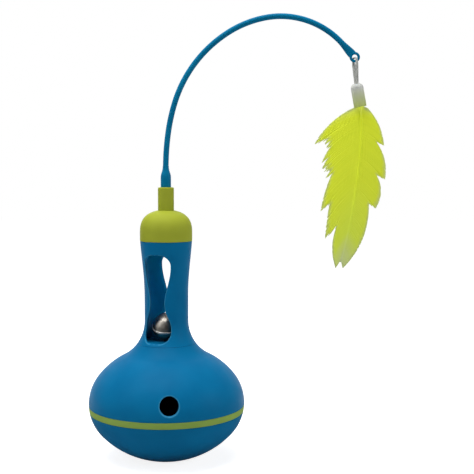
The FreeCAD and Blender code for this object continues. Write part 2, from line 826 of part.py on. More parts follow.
def feather_sleeve():
    """Frosted sleeve that grips the loop above and the feather's root below."""
    shoulder_z = sleeve_length - sleeve_shoulder
    top_radius = sleeve_radius - sleeve_shoulder_inset
    edges = polyline([at(sleeve_bore, 0), at(sleeve_radius, 0), at(sleeve_radius, shoulder_z),
                      at(top_radius, sleeve_length), at(sleeve_top_bore, sleeve_length),
                      at(sleeve_top_bore, sleeve_bore_depth), at(sleeve_bore, sleeve_bore_depth), at(sleeve_bore, 0)])
    shape = turned(edges)
    edges = rims(shape, sleeve_length, top_radius) + rims(shape, shoulder_z, sleeve_radius)
    return beside_sleeve(solid_of(shape.makeFillet(sleeve_round, edges)))


def from_mouth(place):
    """A point of the feather, given across and down from the sleeve's mouth."""
    return sleeve_mouth + at(place[0], place[1])


quill_curve = Part.BezierCurve()
quill_curve.setPoles([sleeve_mouth, sleeve_mouth + sleeve_down * quill_reach, from_mouth(quill_bend),
                      from_mouth(quill_tip)])


def quill_solid(extra):
    """Tapered quill, with extra added to its radius."""
    sections = []
    inside = sleeve_mouth - sleeve_down * root_bundle_length / 2
    sections.append(Part.Wire(Part.makeCircle(quill_root_radius + extra, inside, sleeve_down)))
    for share in (0.0, 0.25, 0.5, 0.75, 1.0):
        radius = quill_root_radius + (quill_tip_radius - quill_root_radius) * share + extra
        centre = quill_curve.value(share)
        direction = Vector(quill_curve.tangent(share)[0])
        sections.append(Part.Wire(Part.makeCircle(radius, centre, direction)))
    return Part.makeLoft(sections, True, False)


def feather_quill():
    """The quill, with its root barbs bunched into the sleeve's bore."""
    bunch_radius = sleeve_bore - root_bundle_gap
    bunch = disc(bunch_radius, 0.0, root_bundle_length)
    edges = rims(bunch, 0.0, bunch_radius) + rims(bunch, root_bundle_length, bunch_radius)
    bunch = beside_sleeve(bunch.makeFillet(root_bundle_round, edges))
    return solid_of(fused([quill_solid(0.0), bunch]))


def bowed(start, end, bow, hand):
    """An arc from start down to end whose middle stands out to the left, -1, or right, 1."""
    along = end - start
    outward = Vector(-along.z, 0, along.x).normalize() * hand
    middle = (start + end) * 0.5 + outward * bow
    return Part.Arc(start, middle, end).toShape()


def vane(start, lobes, hand):
    """One side of the feather: lobes down its outer edge, the quill along its inner one."""
    point = from_mouth(start)
    edges = [line(quill_curve.value(vane_top_share), point)]
    for tip, bow, notch in lobes:
        edges.append(bowed(point, from_mouth(tip), bow, hand))
        edges.append(line(from_mouth(tip), from_mouth(notch)))
        point = from_mouth(notch)
    edges.append(quill_curve.toShape(vane_top_share, 1.0))
    face = Part.Face(Part.Wire(Part.__sortEdges__(edges)))
    prism = face.extrude(Vector(0, feather_camber_radius, 0))
    prism.translate(Vector(0, -feather_camber_radius / 2, 0))
    chord = from_mouth(quill_tip) - sleeve_mouth
    direction = Vector(chord).normalize()
    spine = sleeve_mouth + Vector(0, feather_camber_radius, 0) - direction * beyond / 4
    half = feather_thickness / 2
    sheet = Part.makeCylinder(feather_camber_radius + half, beyond, spine, direction)
    sheet = sheet.cut(Part.makeCylinder(feather_camber_radius - half, beyond, spine, direction))
    return solid_of(prism.common(sheet).cut(quill_solid(quill_clearance)))


os.makedirs("parts", exist_ok=True)

pieces = {
    "base_bowl": base_bowl(),
    "base_weight": base_weight(),
    "weight_cover": weight_cover(),
    "weight_screws": weight_screws(),
    "accent_ring": accent_ring(),
    "bulb_shell": bulb_shell(),
    "neck_cage": neck_cage(),
    "cap": cap(),
    "bell_upper": in_cage(bell_half(True)),
    "bell_lower": in_cage(bell_half(False)),
    "bell_pellet": bell_pellet(),
    "wand_collar": wand_collar(),
    "collar_clip": collar_clip(),
    "wand_plug": wand_plug(),
    "wand_rod": wand_rod(),
    "tip_eye": tip_eye(),
    "hanger_loop": hanger_loop(),
    "feather_sleeve": feather_sleeve(),
    "feather_quill": feather_quill(),
    "vane_left": vane(left_start, left_lobes, -1),
    "vane_right": vane(right_start, right_lobes, 1),
}

for name, shape in pieces.items():
    shape.exportStep("parts/" + name + ".step")
    box = shape.BoundBox
    print("%-15s solids %d valid %s volume %.1f  x %.1f %.1f  y %.1f %.1f  z %.1f %.1f" % (
        name, len(shape.Solids), shape.isValid(), shape.Volume,
        box.XMin, box.XMax, box.YMin, box.YMax, box.ZMin, box.ZMax))
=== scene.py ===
# %% [markdown]
# # A treat dispensing toy for cats
#
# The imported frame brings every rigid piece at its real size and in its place. This lesson
# dresses it for the camera: shells turned from arcs, a neck with cut windows, a jingle bell,
# a springy rod and a feather made of barbs. Shapes are worked out in millimetres, and turned
# into metres when a mesh is made.

# %% Load the frame
import json
import math

import bmesh
import bpy
import numpy as np
from mathutils import Matrix

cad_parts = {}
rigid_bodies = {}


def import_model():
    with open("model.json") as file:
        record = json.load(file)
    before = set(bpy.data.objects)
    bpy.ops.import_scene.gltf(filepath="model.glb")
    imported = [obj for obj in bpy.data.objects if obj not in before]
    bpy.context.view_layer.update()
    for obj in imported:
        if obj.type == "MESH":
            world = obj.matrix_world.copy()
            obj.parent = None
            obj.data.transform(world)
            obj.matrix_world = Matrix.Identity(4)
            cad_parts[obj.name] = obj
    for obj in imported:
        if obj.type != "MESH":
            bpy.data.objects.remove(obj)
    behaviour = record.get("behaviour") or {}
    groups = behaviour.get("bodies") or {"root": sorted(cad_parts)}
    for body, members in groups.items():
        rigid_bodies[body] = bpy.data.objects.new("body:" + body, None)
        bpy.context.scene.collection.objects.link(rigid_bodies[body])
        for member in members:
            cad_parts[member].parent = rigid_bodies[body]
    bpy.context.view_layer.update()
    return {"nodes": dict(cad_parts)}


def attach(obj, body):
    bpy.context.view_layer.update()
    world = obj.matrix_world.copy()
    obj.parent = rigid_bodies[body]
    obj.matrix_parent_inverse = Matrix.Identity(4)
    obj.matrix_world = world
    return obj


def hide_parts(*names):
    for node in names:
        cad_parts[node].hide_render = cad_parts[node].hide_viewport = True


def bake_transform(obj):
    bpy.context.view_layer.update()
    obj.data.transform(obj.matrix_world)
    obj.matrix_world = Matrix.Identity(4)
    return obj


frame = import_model()
nodes = frame["nodes"]
MM = 0.001

# %% [markdown]
# ## Camera
#
# The photograph was taken from in front, a little above the middle of the toy, with a lens
# of about 27 degrees. A focal length in pixels of the square frame becomes Blender's lens
# by dividing by the frame's width and multiplying by the sensor's.

# %% Set up the camera
frame_pixels = 474.0
focal_pixels = 988.0
camera_place = (45.3 * MM, -630.0 * MM, 185.0 * MM)
camera_pitch = 3.88

camera_data = bpy.data.cameras.new("camera")
camera_data.sensor_width = 36.0
camera_data.lens = camera_data.sensor_width * focal_pixels / frame_pixels
camera = bpy.data.objects.new("camera", camera_data)
camera.location = camera_place
camera.rotation_euler = (math.radians(90.0 - camera_pitch), 0.0, 0.0)
bpy.context.scene.collection.objects.link(camera)
bpy.context.scene.camera = camera
print("lens %.1f mm" % camera_data.lens)

# %% [markdown]
# ## Studio
#
# The toy was lit by a wide soft box overhead and by paler boxes behind and at both sides.
# Area lamps give those soft highlights. The world is a dim white for the surfaces and pure
# white for the camera, for reflections and for what is seen through clear plastic, which
# keeps the background white without adding light. Only a mirror ray towards the front finds
# the room dim, so the bell gets the dark middle that chrome has in a photograph.

# %% Lamps
def soft_box(name, place, aim, size, power):
    """A rectangular area lamp at a place, in metres, facing another point."""
    data = bpy.data.lights.new(name, "AREA")
    data.shape = "RECTANGLE"
    data.size, data.size_y = size
    data.energy = power
    lamp = bpy.data.objects.new(name, data)
    direction = np.array(aim) - np.array(place)
    distance = np.linalg.norm(direction)
    sideways = math.atan2(direction[0], -direction[1])
    tilt = math.acos(-direction[2] / distance)
    lamp.location = place
    lamp.rotation_euler = (tilt, 0.0, sideways + math.pi)
    bpy.context.scene.collection.objects.link(lamp)


middle = (0.02, 0.0, 0.12)
soft_box("overhead box", (-0.10, -0.14, 0.95), middle, (0.7, 0.7), 8.2)
soft_box("back box", (0.0, 0.45, 0.85), middle, (0.6, 0.6), 1.3)
soft_box("left box", (-0.78, -0.50, 0.45), middle, (0.35, 0.7), 1.0)
soft_box("high left box", (-0.77, -0.34, 0.88), middle, (0.25, 0.25), 0.95)
soft_box("right box", (0.95, -0.25, 0.40), middle, (0.35, 0.6), 2.6)

# %% [markdown]
# ## Nodes
#
# Materials and the world are trees of nodes. A few helpers let them be written like formulas,
# where an input may be a number, a colour or another node's output.

# %% Node helpers
def feed(tree, socket, value):
    """Links an input socket to another node's output, or sets it to a number or a colour."""
    if isinstance(value, bpy.types.NodeSocket):
        tree.links.new(value, socket)
    else:
        socket.default_value = value


def new_node(tree, kind, *inputs, **values):
    """A node of a tree. Its first inputs go by position, and other inputs or properties by name."""
    node = tree.nodes.new(kind)
    for key, value in values.items():
        if hasattr(node, key):
            setattr(node, key, value)
        else:
            feed(tree, node.inputs[key.replace("_", " ")], value)
    for socket, value in zip(node.inputs, inputs):
        feed(tree, socket, value)
    return node


def combined(tree, operation, first, second):
    """Two numbers or outputs combined by a Math node."""
    return new_node(tree, "ShaderNodeMath", first, second, operation=operation).outputs[0]


def smooth_step(tree, value, start, end, low=0.0, high=1.0):
    """A smooth step from low to high, as a value goes from a start to an end."""
    ramp = new_node(tree, "ShaderNodeMapRange", interpolation_type="SMOOTHSTEP", Value=value,
                    From_Min=start, From_Max=end, To_Min=low, To_Max=high)
    return ramp.outputs["Result"]


def mirror_only(tree, value):
    """The value for mirror rays, and 1 for all others."""
    path = tree.nodes.new("ShaderNodeLightPath")
    share = new_node(tree, "ShaderNodeMix", path.outputs["Is Glossy Ray"], data_type="FLOAT")
    feed(tree, share.inputs[2], 1.0)
    feed(tree, share.inputs[3], value)
    return share.outputs[0]


def seen_directly(tree):
    """A value that is 1 for camera, mirror and see-through rays, and 0 for diffuse ones."""
    path = tree.nodes.new("ShaderNodeLightPath")
    first = combined(tree, "MAXIMUM", path.outputs["Is Camera Ray"], path.outputs["Is Glossy Ray"])
    return combined(tree, "MAXIMUM", first, path.outputs["Is Transmission Ray"])


# %% World
ambient_light = 0.03
pure_white = (1.0, 1.0, 1.0, 1.0)
back_left = (-0.45, 0.89, 0.0)
dim_room, dim_until, white_after = 0.04, -0.8, 0.1


def dark_front(tree):
    """Brightness of the room along a mirror ray: dim where the photographer stood, else white.

    The world's object coordinates are the ray's direction, whose Y is -1 towards the front.
    Its dot product with a direction to the back left makes the dim side front and right."""
    direction = tree.nodes.new("ShaderNodeTexCoord").outputs["Object"]
    towards = new_node(tree, "ShaderNodeVectorMath", direction, back_left, operation="DOT_PRODUCT")
    return mirror_only(tree, smooth_step(tree, towards.outputs["Value"], dim_until, white_after, dim_room))


world = bpy.data.worlds.new("white room")
world.use_nodes = True
world_tree = world.node_tree
world_tree.nodes.clear()
room = new_node(world_tree, "ShaderNodeBackground", pure_white, ambient_light)
paper = new_node(world_tree, "ShaderNodeBackground", pure_white, dark_front(world_tree))
room_or_paper = new_node(world_tree, "ShaderNodeMixShader", seen_directly(world_tree), room.outputs[0],
                         paper.outputs[0])
new_node(world_tree, "ShaderNodeOutputWorld", room_or_paper.outputs[0])
bpy.context.scene.world = world
print("world of", len(world_tree.nodes), "nodes")

# %% [markdown]
# ## Floor
#
# The floor is white paper. Under the toy it takes the lamps' light and the toy's soft
# shadow, and a little glow of its own. Further out, past the lamps' reach, the glow grows to
# full white, so the paper meets the white room without a line. In mirror rays the paper is dim
# close under the toy, where the toy shades it, and towards the front, like the room.

# %% Make the floor
floor_half = 3.0
shadow_reach, white_from = 0.10, 0.42
near_glow = 0.86
floor_level = -0.05 * MM
paper_white = 0.62
# In mirror rays: dim from, white from, and the share left where it is dim.
mirror_near = (0.03, 0.3, 0.1)
mirror_front = (-0.25, 0.1, 0.05)

floor_mesh = bpy.data.meshes.new("floor")
floor_corners = [(-floor_half, -floor_half), (floor_half, -floor_half), (floor_half, floor_half),
                 (-floor_half, floor_half)]
floor_mesh.from_pydata([(x, y, floor_level) for x, y in floor_corners], [], [(0, 1, 2, 3)])
floor = bpy.data.objects.new("floor", floor_mesh)
bpy.context.scene.collection.objects.link(floor)
floor_material = bpy.data.materials.new("white paper")
floor_material.use_nodes = True
paper_tree = floor_material.node_tree
paper_tree.nodes.clear()
paper_place = paper_tree.nodes.new("ShaderNodeTexCoord").outputs["Object"]
from_axis = new_node(paper_tree, "ShaderNodeVectorMath", paper_place, operation="LENGTH").outputs["Value"]
along_y = new_node(paper_tree, "ShaderNodeSeparateXYZ", paper_place).outputs["Y"]
far_glow = smooth_step(paper_tree, from_axis, shadow_reach, white_from, near_glow)
glow = combined(paper_tree, "MULTIPLY", far_glow, seen_directly(paper_tree))
near_dim = smooth_step(paper_tree, from_axis, *mirror_near)
front_dim = smooth_step(paper_tree, along_y, *mirror_front)
mirrored = mirror_only(paper_tree, combined(paper_tree, "MULTIPLY", near_dim, front_dim))
paper_colour = combined(paper_tree, "MULTIPLY", mirrored, paper_white)
paper_diffuse = new_node(paper_tree, "ShaderNodeBsdfDiffuse", paper_colour)
paper_strength = combined(paper_tree, "MULTIPLY", glow, mirrored)
paper_glow = new_node(paper_tree, "ShaderNodeEmission", pure_white, paper_strength)
paper_sum = new_node(paper_tree, "ShaderNodeAddShader", paper_diffuse.outputs[0], paper_glow.outputs[0])
new_node(paper_tree, "ShaderNodeOutputMaterial", paper_sum.outputs[0])
floor_mesh.materials.append(floor_material)
print("floor of %.0f m, shader of %d nodes" % (2 * floor_half, len(paper_tree.nodes)))

# %% [markdown]
# ## Surfaces from arrays
#
# Every new piece is made of grids of points worked out in one go. A grid's quads join each
# point to its neighbours, and it may close on itself in either direction, as a tube does.

# %% Grids and meshes
edge_angle = 38.0


def grid_quads(rows, columns, close_rows=False, close_columns=False):
    """Corner numbers of the quads between neighbouring points of a rows by columns grid."""
    number = np.arange(rows * columns).reshape(rows, columns)
    if close_rows:
        number = np.vstack([number, number[:1]])
    if close_columns:
        number = np.hstack([number, number[:, :1]])
    corners = [number[:-1, :-1], number[:-1, 1:], number[1:, 1:], number[1:, :-1]]
    return np.stack(corners, axis=-1).reshape(-1, 4)


def sheet(grid, close_rows=False, close_columns=True):
    """A surface, which is a pair of points and quads, from a grid of points."""
    return grid.reshape(-1, 3), grid_quads(*grid.shape[:2], close_rows, close_columns)


def around_axis(radius, angle, height):
    """Points at radii, angles in radians and heights around Z: (r cos a, r sin a, z)."""
    return np.stack(np.broadcast_arrays(radius * np.cos(angle), radius * np.sin(angle), height), axis=-1)


def drawn_in(rings):
    """Rings of points, closed at both ends by a ring drawn in to the middle."""
    ends = rings[[0, -1]].mean(axis=1, keepdims=True).repeat(rings.shape[1], axis=1)
    return np.concatenate([ends[:1], rings, ends[1:]])


def joined(surfaces):
    """One pair of points and quads from several."""
    counts = np.cumsum([0] + [len(points) for points, _ in surfaces[:-1]])
    points = np.concatenate([points for points, _ in surfaces])
    quads = np.concatenate([quads + start for (_, quads), start in zip(surfaces, counts)])
    return points, quads


def placed(surface, turn=0.0, lean=(0.0, 1.0, 0.0), lean_angle=0.0, shift=(0.0, 0.0, 0.0)):
    """A surface turned about Z, leaned about a second axis through the origin and shifted."""
    points, quads = surface
    lean_matrix = Matrix.Rotation(math.radians(lean_angle), 3, lean)
    matrix = lean_matrix @ Matrix.Rotation(math.radians(turn), 3, "Z")
    return points @ np.array(matrix).T + np.array(shift), quads


def mark(mesh, key, values):
    """Stores a number for each point, which a material can read by its key."""
    mesh.attributes.new(key, "FLOAT", "POINT").data.foreach_set("value", values.astype(np.float32))


def new_piece(name, surfaces, sharp_angle=edge_angle, attributes=None):
    """A mesh object from surfaces in millimetres, its doubles merged and its faces outwards."""
    points, quads = joined(surfaces)
    mesh = bpy.data.meshes.new(name)
    mesh.from_pydata((points * MM).tolist(), [], quads.tolist())
    for key, values in (attributes or {}).items():
        mark(mesh, key, values)
    work = bmesh.new()
    work.from_mesh(mesh)
    if attributes is None:
        bmesh.ops.remove_doubles(work, verts=work.verts, dist=2e-7)
    bmesh.ops.recalc_face_normals(work, faces=work.faces)
    open_edges = sum(edge.is_boundary for edge in work.edges)
    work.to_mesh(mesh)
    work.free()
    print("%-16s %6d points, %d open edges" % (name, len(mesh.vertices), open_edges))
    mesh.polygons.foreach_set("use_smooth", np.ones(len(mesh.polygons), bool))
    mesh.set_sharp_from_angle(angle=math.radians(sharp_angle))
    piece = bpy.data.objects.new(name, mesh)
    bpy.context.scene.collection.objects.link(piece)
    return piece


def even_shading(piece):
    """Keeps flat faces flat beside rounded edges."""
    shading = piece.modifiers.new("even shading", "WEIGHTED_NORMAL")
    shading.keep_sharp = True


def points_of(piece):
    """Points of a piece in millimetres."""
    flat = np.empty(3 * len(piece.data.vertices), np.float32)
    piece.data.vertices.foreach_get("co", flat)
    return flat.reshape(-1, 3) / MM


def fitted(piece, material, body, replaced):
    """Gives a piece its material and its body, and hides the node of the frame that it stands for."""
    piece.data.materials.clear()
    piece.data.materials.append(material)
    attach(piece, body)
    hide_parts(replaced)
    print("%-16s %6d faces, rides on %s" % (piece.name, len(piece.data.polygons), body))
    return piece


def dressed(name, surfaces, material, body, replaced):
    """A new piece with even shading that stands for one node of the frame."""
    piece = new_piece(name, surfaces)
    even_shading(piece)
    return fitted(piece, material, body, replaced)


# %% [markdown]
# Turned pieces come from a half outline in radius and height. Its curves are arcs and
# Bezier curves, and its corners are rounded by small tangent arcs, because a moulded edge is
# never sharp and a thin bright line on it is what makes plastic look real.

# %% Outlines
def arc(centre, radius, start, end, steps=24):
    """Points of a circle in the (radius, height) plane between two angles in degrees."""
    angle = np.radians(np.linspace(start, end, steps))
    return np.array(centre) + radius * np.stack([np.cos(angle), np.sin(angle)], axis=-1)


def bezier(poles, steps=24):
    """Cubic Bezier curve: the poles weighted by (1-t)^3, 3t(1-t)^2, 3t^2(1-t) and t^3."""
    t = np.linspace(0.0, 1.0, steps)[:, None]
    weights = [(1 - t) ** 3, 3 * t * (1 - t) ** 2, 3 * t ** 2 * (1 - t), t ** 3]
    return sum(weight * np.array(pole, float) for weight, pole in zip(weights, poles))


def rounded(corners, steps=5, closed=True):
    """An outline whose corners (radius, height, rounding) become arcs tangent to both sides.

    With unit vectors a and b towards the neighbours and h half the angle between them, an arc
    of radius q starts q / tan(h) along a and its centre lies q / sin(h) along a + b."""
    corners = np.array(corners, float)
    points, rounding = corners[:, :2], corners[:, 2:]
    to_last = np.roll(points, 1, axis=0) - points
    to_next = np.roll(points, -1, axis=0) - points
    to_last = to_last / np.linalg.norm(to_last, axis=1, keepdims=True)
    to_next = to_next / np.linalg.norm(to_next, axis=1, keepdims=True)
    half = np.arccos(np.clip((to_last * to_next).sum(axis=1, keepdims=True), -1, 1)) / 2
    middle = to_last + to_next
    middle = middle / np.maximum(np.linalg.norm(middle, axis=1, keepdims=True), 1e-9)
    centre = points + middle * rounding / np.sin(half)
    start = points + to_last * rounding / np.tan(half) - centre
    end = points + to_next * rounding / np.tan(half) - centre
    sweep = np.maximum(np.pi - 2 * half, 1e-6)
    share = np.linspace(0, 1, steps)[:, None, None]
    ring = centre + (np.sin((1 - share) * sweep) * start + np.sin(share * sweep) * end) / np.sin(sweep)
    ring = np.where(rounding > 0, ring, points)
    outline = ring.transpose(1, 0, 2).reshape(-1, 2)
    return outline if closed else outline[steps - 1:len(outline) - steps + 1]


def turned(outline, segments=128, closed=True, start=0.0):
    """Surface of revolution: (r, z) goes to (r cos a, r sin a, z) for even angles a."""
    angle = np.radians(start) + np.linspace(0, 2 * np.pi, segments, endpoint=False)[:, None]
    radius, height = np.array(outline, float).T
    return sheet(around_axis(radius, angle, height), True, closed)


# %% [markdown]
# ## Outline of the bulb and neck
#
# The vase is one smooth line of tangent arcs: keel, belly, shoulder, slope and root, then a
# straight waist and a gentle flare. Moving each arc's radius by the wall's thickness gives
# the inner face. The radius at any height follows by interpolation, because the line only
# ever climbs.

# %% Vase outline
bulb_radius = 50.0
equator = 35.5
foot_radius = 13.4
belly_radius, belly_end = 27.5, 43.0
shoulder_radius, shoulder_end = 28.2, 38.1
slope_radius, slope_end = 47.9, 63.1
neck_radius = 14.0
waist_length = 15.2
flare_length = 35.8
neck_flare = 2.6
wall = 2.0


def heading(angle):
    """Unit vector at an angle in degrees."""
    return np.array([math.cos(math.radians(angle)), math.sin(math.radians(angle))])


def polar(centre, radius, angle):
    """The point of a circle at an angle in degrees."""
    return np.array(centre) + radius * heading(angle)


belly_centre = (bulb_radius - belly_radius, equator)
belly_low = polar(belly_centre, belly_radius, -belly_end)
inward = -heading(-belly_end)
to_foot = np.array([foot_radius, 0.0]) - belly_low
keel_radius = to_foot @ to_foot / (2 * to_foot @ inward)
keel_centre = belly_low + inward * keel_radius
foot_angle = math.degrees(math.atan2(-keel_centre[1], foot_radius - keel_centre[0]))
shoulder_centre = (bulb_radius - shoulder_radius, equator)
slope_centre = polar(shoulder_centre, shoulder_radius - slope_radius, shoulder_end)
slope_top = polar(slope_centre, slope_radius, slope_end)
root_radius = (slope_top[0] - neck_radius) / (1 - math.cos(math.radians(slope_end)))
root_centre = polar(slope_top, root_radius, slope_end)
waist_low = root_centre[1]
waist_high = waist_low + waist_length
seam_z = waist_high + flare_length
neck_top_radius = neck_radius + neck_flare


def vase_line(inset):
    """The outline from the foot's edge to the neck's top, moved inwards by an inset."""
    radius = neck_radius - inset
    flare = [(radius, waist_high), (radius, waist_high + 0.4 * flare_length),
             (radius + 0.7 * neck_flare, seam_z - 0.3 * flare_length), (radius + neck_flare, seam_z)]
    return np.concatenate([
        arc(keel_centre, keel_radius - inset, foot_angle, -belly_end, 60),
        arc(belly_centre, belly_radius - inset, -belly_end, 0.0, 60)[1:],
        arc(shoulder_centre, shoulder_radius - inset, 0.0, shoulder_end, 60)[1:],
        arc(slope_centre, slope_radius - inset, shoulder_end, slope_end, 60)[1:],
        arc(root_centre, root_radius + inset, 180 + slope_end, 180.0, 60)[1:],
        bezier(flare, 60),
    ])


lines = {inset: vase_line(inset) for inset in (0.0, wall)}


def vase_radius(height, inset=0.0):
    """Radius of the vase's outer or inner face at a height."""
    return np.interp(height, lines[inset][:, 1], lines[inset][:, 0])


def even_heights(low, high, step=1.2):
    """Heights between two levels, evenly spaced along the vase's outer line."""
    fine = np.linspace(low, high, 400)
    run = np.concatenate([[0.0], np.cumsum(np.hypot(np.diff(vase_radius(fine)), np.diff(fine)))])
    return np.interp(np.linspace(0, run[-1], int(run[-1] / step) + 2), run, fine)


def face(heights, inset=0.0):
    """Points of the vase's outer or inner face at given heights."""
    return np.stack([vase_radius(heights, inset), heights], axis=-1)


print("neck from %.1f to %.1f mm, keel radius %.1f mm" % (waist_low, seam_z, keel_radius))

# %% [markdown]
# ## Plastics
#
# The shells are satin moulded plastic. Under a soft box its look comes from three things:
# a plain colour with a faint mottle, a roughness that wanders a little, and the fine grain
# of the mould. All three are noise on the object's own coordinates, so they stay put from
# any side. The grain is a bump of a few hundredths of a millimetre.

# %% Plastic materials
def linear(red, green, blue):
    """A screen colour of 0 to 255 as the linear colour that Blender works with."""
    screen = np.array([red, green, blue]) / 255.0
    value = np.where(screen <= 0.04045, screen / 12.92, ((screen + 0.055) / 1.055) ** 2.4)
    return (*value.tolist(), 1.0)


def noise(tree, scale, detail=2.0):
    """Fractal noise on the object's own coordinates; scale is in waves a metre."""
    coordinates = tree.nodes.new("ShaderNodeTexCoord").outputs["Object"]
    return new_node(tree, "ShaderNodeTexNoise", coordinates, Scale=scale, Detail=detail).outputs["Fac"]


def spread(tree, value, low, high, start=0.3, end=0.7):
    """Noise, which mostly keeps to 0.3 to 0.7, stretched to another range."""
    ranged = new_node(tree, "ShaderNodeMapRange", value, start, end, low, high)
    return ranged.outputs["Result"]


def attribute(tree, key):
    """The number that each point of a piece stores under a key."""
    return new_node(tree, "ShaderNodeAttribute", attribute_name=key).outputs["Fac"]


def mixed(tree, share, first, second):
    """A colour between two colours."""
    mix = new_node(tree, "ShaderNodeMix", share, data_type="RGBA")
    feed(tree, mix.inputs[6], first)
    feed(tree, mix.inputs[7], second)
    return mix.outputs[2]


def grain(tree, shader, scale, strength, distance=0.02 * MM):
    """Fine bump from noise."""
    height = noise(tree, scale, 3.0)
    bump = new_node(tree, "ShaderNodeBump", Strength=strength, Distance=distance, Height=height)
    feed(tree, shader.inputs["Normal"], bump.outputs["Normal"])


def dress(tree, shader, **inputs):
    """Sets or links inputs of a shader by name."""
    for key, value in inputs.items():
        feed(tree, shader.inputs[key.replace("_", " ")], value)


def base_material(name):
    """A new material, its node tree and its shader."""
    material = bpy.data.materials.new(name)
    material.use_nodes = True
    return material, material.node_tree, material.node_tree.nodes["Principled BSDF"]


mottle_waves, gloss_waves, grain_waves = 55.0, 140.0, 2600.0


def satin_plastic(name, pale, deep, roughness=0.42, specular=0.028, edge=None, inner=None, painted_shade=None):
    """Moulded plastic with a faint mottle, wandering gloss, fine mould grain and a painted highlight on
    edges.

    A point attribute named edge gives a painted highlight along rounded edges, and one named inside
    is 1 on the inner faces, whose brighter colour is painted light. A third attribute
    is 1 low inside the neck, where a darker colour is painted shade."""
    material, tree, shader = base_material(name)
    colour = mixed(tree, spread(tree, noise(tree, mottle_waves), 0.0, 1.0), pale, deep)
    # Painted light: a brighter colour on inner faces. Painted shade: a darker one low in the neck.
    if inner:
        colour = mixed(tree, attribute(tree, "inside"), colour, inner)
        colour = mixed(tree, attribute(tree, "painted_shade"), colour, painted_shade)
    # Painted highlight: a paler colour along rounded edges, where a lip would catch the light.
    if edge:
        colour = mixed(tree, attribute(tree, "edge"), colour, edge)
    gloss = spread(tree, noise(tree, gloss_waves), roughness - 0.05, roughness + 0.05)
    dress(tree, shader, Base_Color=colour, Roughness=gloss, Specular_IOR_Level=specular)
    grain(tree, shader, grain_waves, 0.35)
    return material


# Its edge colour is a painted highlight, its inner colour painted light, and its last colour painted shade.
blue_plastic = satin_plastic("blue plastic", linear(13, 119, 170), linear(10, 112, 163),
                             edge=linear(60, 148, 190), inner=linear(4, 162, 222), painted_shade=linear(8, 104, 150))
green_plastic = satin_plastic("green plastic", linear(174, 184, 62), linear(166, 176, 55), 0.45)
ring_plastic = satin_plastic("ring plastic", linear(156, 188, 92), linear(149, 180, 86), 0.45)
teal_plastic = satin_plastic("teal plastic", linear(14, 124, 168), linear(10, 116, 160), 0.38)
print("materials", [material.name for material in bpy.data.materials if material.name.endswith("plastic")])

# %% [markdown]
# ## Base bowl
#
# The lower half of the bulb is a thin bowl. One open line from the middle of its underside,
# out over the rim and back along the inside to the axis, turned about the axis, makes a
# closed shell. The seat for the weight, the screw bosses and the lock's pins are small
# turned solids set into it.

# %% Make the bowl
split_drop = 5.35
ring_height = 4.1
edge_round = 0.35
ring_low = equator - split_drop
ring_high = ring_low + ring_height
bowl_segments = 192

inner_foot = keel_centre[1] - math.sqrt((keel_radius - wall) ** 2 - keel_centre[0] ** 2)
rim_out = vase_radius(ring_low)
rim_in = vase_radius(ring_low, wall)
bowl_line = np.concatenate([
    [(0.0, 0.0), (foot_radius * 0.5, 0.0)],
    arc((foot_radius - 0.4, edge_round), edge_round, -90, -78, 3),
    face(even_heights(0.12, ring_low - edge_round)),
    arc((rim_out - edge_round, ring_low - edge_round), edge_round, 10, 90, 5),
    arc((rim_in + edge_round, ring_low - edge_round), edge_round, 90, 170, 5),
    face(even_heights(lines[wall][0, 1] + 0.02, ring_low - edge_round)[::-1], wall),
    [(0.0, inner_foot)],
])


def keel_height(radius, inset):
    """Height of the keel's circle at a radius, near the middle of the bowl."""
    return keel_centre[1] - np.sqrt((keel_radius - inset) ** 2 - (radius - keel_centre[0]) ** 2)


weight_radius, weight_thickness, weight_rim_gap, cover_lift = 24.0, 7.0, 0.7, 0.8
weight_low = keel_height(weight_radius, wall) + weight_rim_gap
seat_low, seat_in, seat_out = 2.4, 17.0, 19.0
seat = turned(rounded([(seat_in, seat_low, 0.1), (seat_out, seat_low, 0.1), (seat_out, weight_low, 0.3),
                       (seat_in, weight_low, 0.3)]), 96)

screw_circle, screw_bore, boss_radius = 28.2, 1.5, 3.2
boss_top = weight_low + weight_thickness + cover_lift
boss_points, boss_quads = turned(rounded([(screw_bore, 0.0, 0.1), (boss_radius, 0.0, 0.1),
                                          (boss_radius, boss_top, 0.3), (screw_bore, boss_top, 0.2)]), 32)
boss_points = boss_points + [screw_circle, 0.0, 0.0]
boss_sink = 0.6
boss_foot = keel_height(np.hypot(boss_points[:, 0], boss_points[:, 1]), wall) - boss_sink
boss_points[:, 2] = np.maximum(boss_points[:, 2], boss_foot)

pin_radius, pin_bevel, pin_z, pin_in, pin_out = 1.5, 0.25, ring_low - 2.2, 42.2, 47.0
pin_length = pin_out - pin_in
pin = turned([(0.0, 0.0), (pin_radius - pin_bevel, 0.0), (pin_radius, pin_bevel), (pin_radius, pin_length),
              (0.0, pin_length)], 24, False)
pin = placed(pin, lean_angle=90.0, shift=(pin_in, 0.0, pin_z))

third_turn, first_boss, first_pin = 120.0, 150.0, 90.0
bowl_parts = [turned(bowl_line, bowl_segments, False), seat]
for k in range(3):
    bowl_parts.append(placed((boss_points, boss_quads), turn=first_boss + third_turn * k))
    bowl_parts.append(placed(pin, turn=first_pin + third_turn * k))
dressed("bowl", bowl_parts, blue_plastic, "base", "base_bowl")

# %% [markdown]
# ## Stripe ring
#
# A thin coloured ring is clamped between the bulb's halves. Its outside follows the bulb's
# line, with a small rounded edge above and below, so a dark hairline shows at both seams.

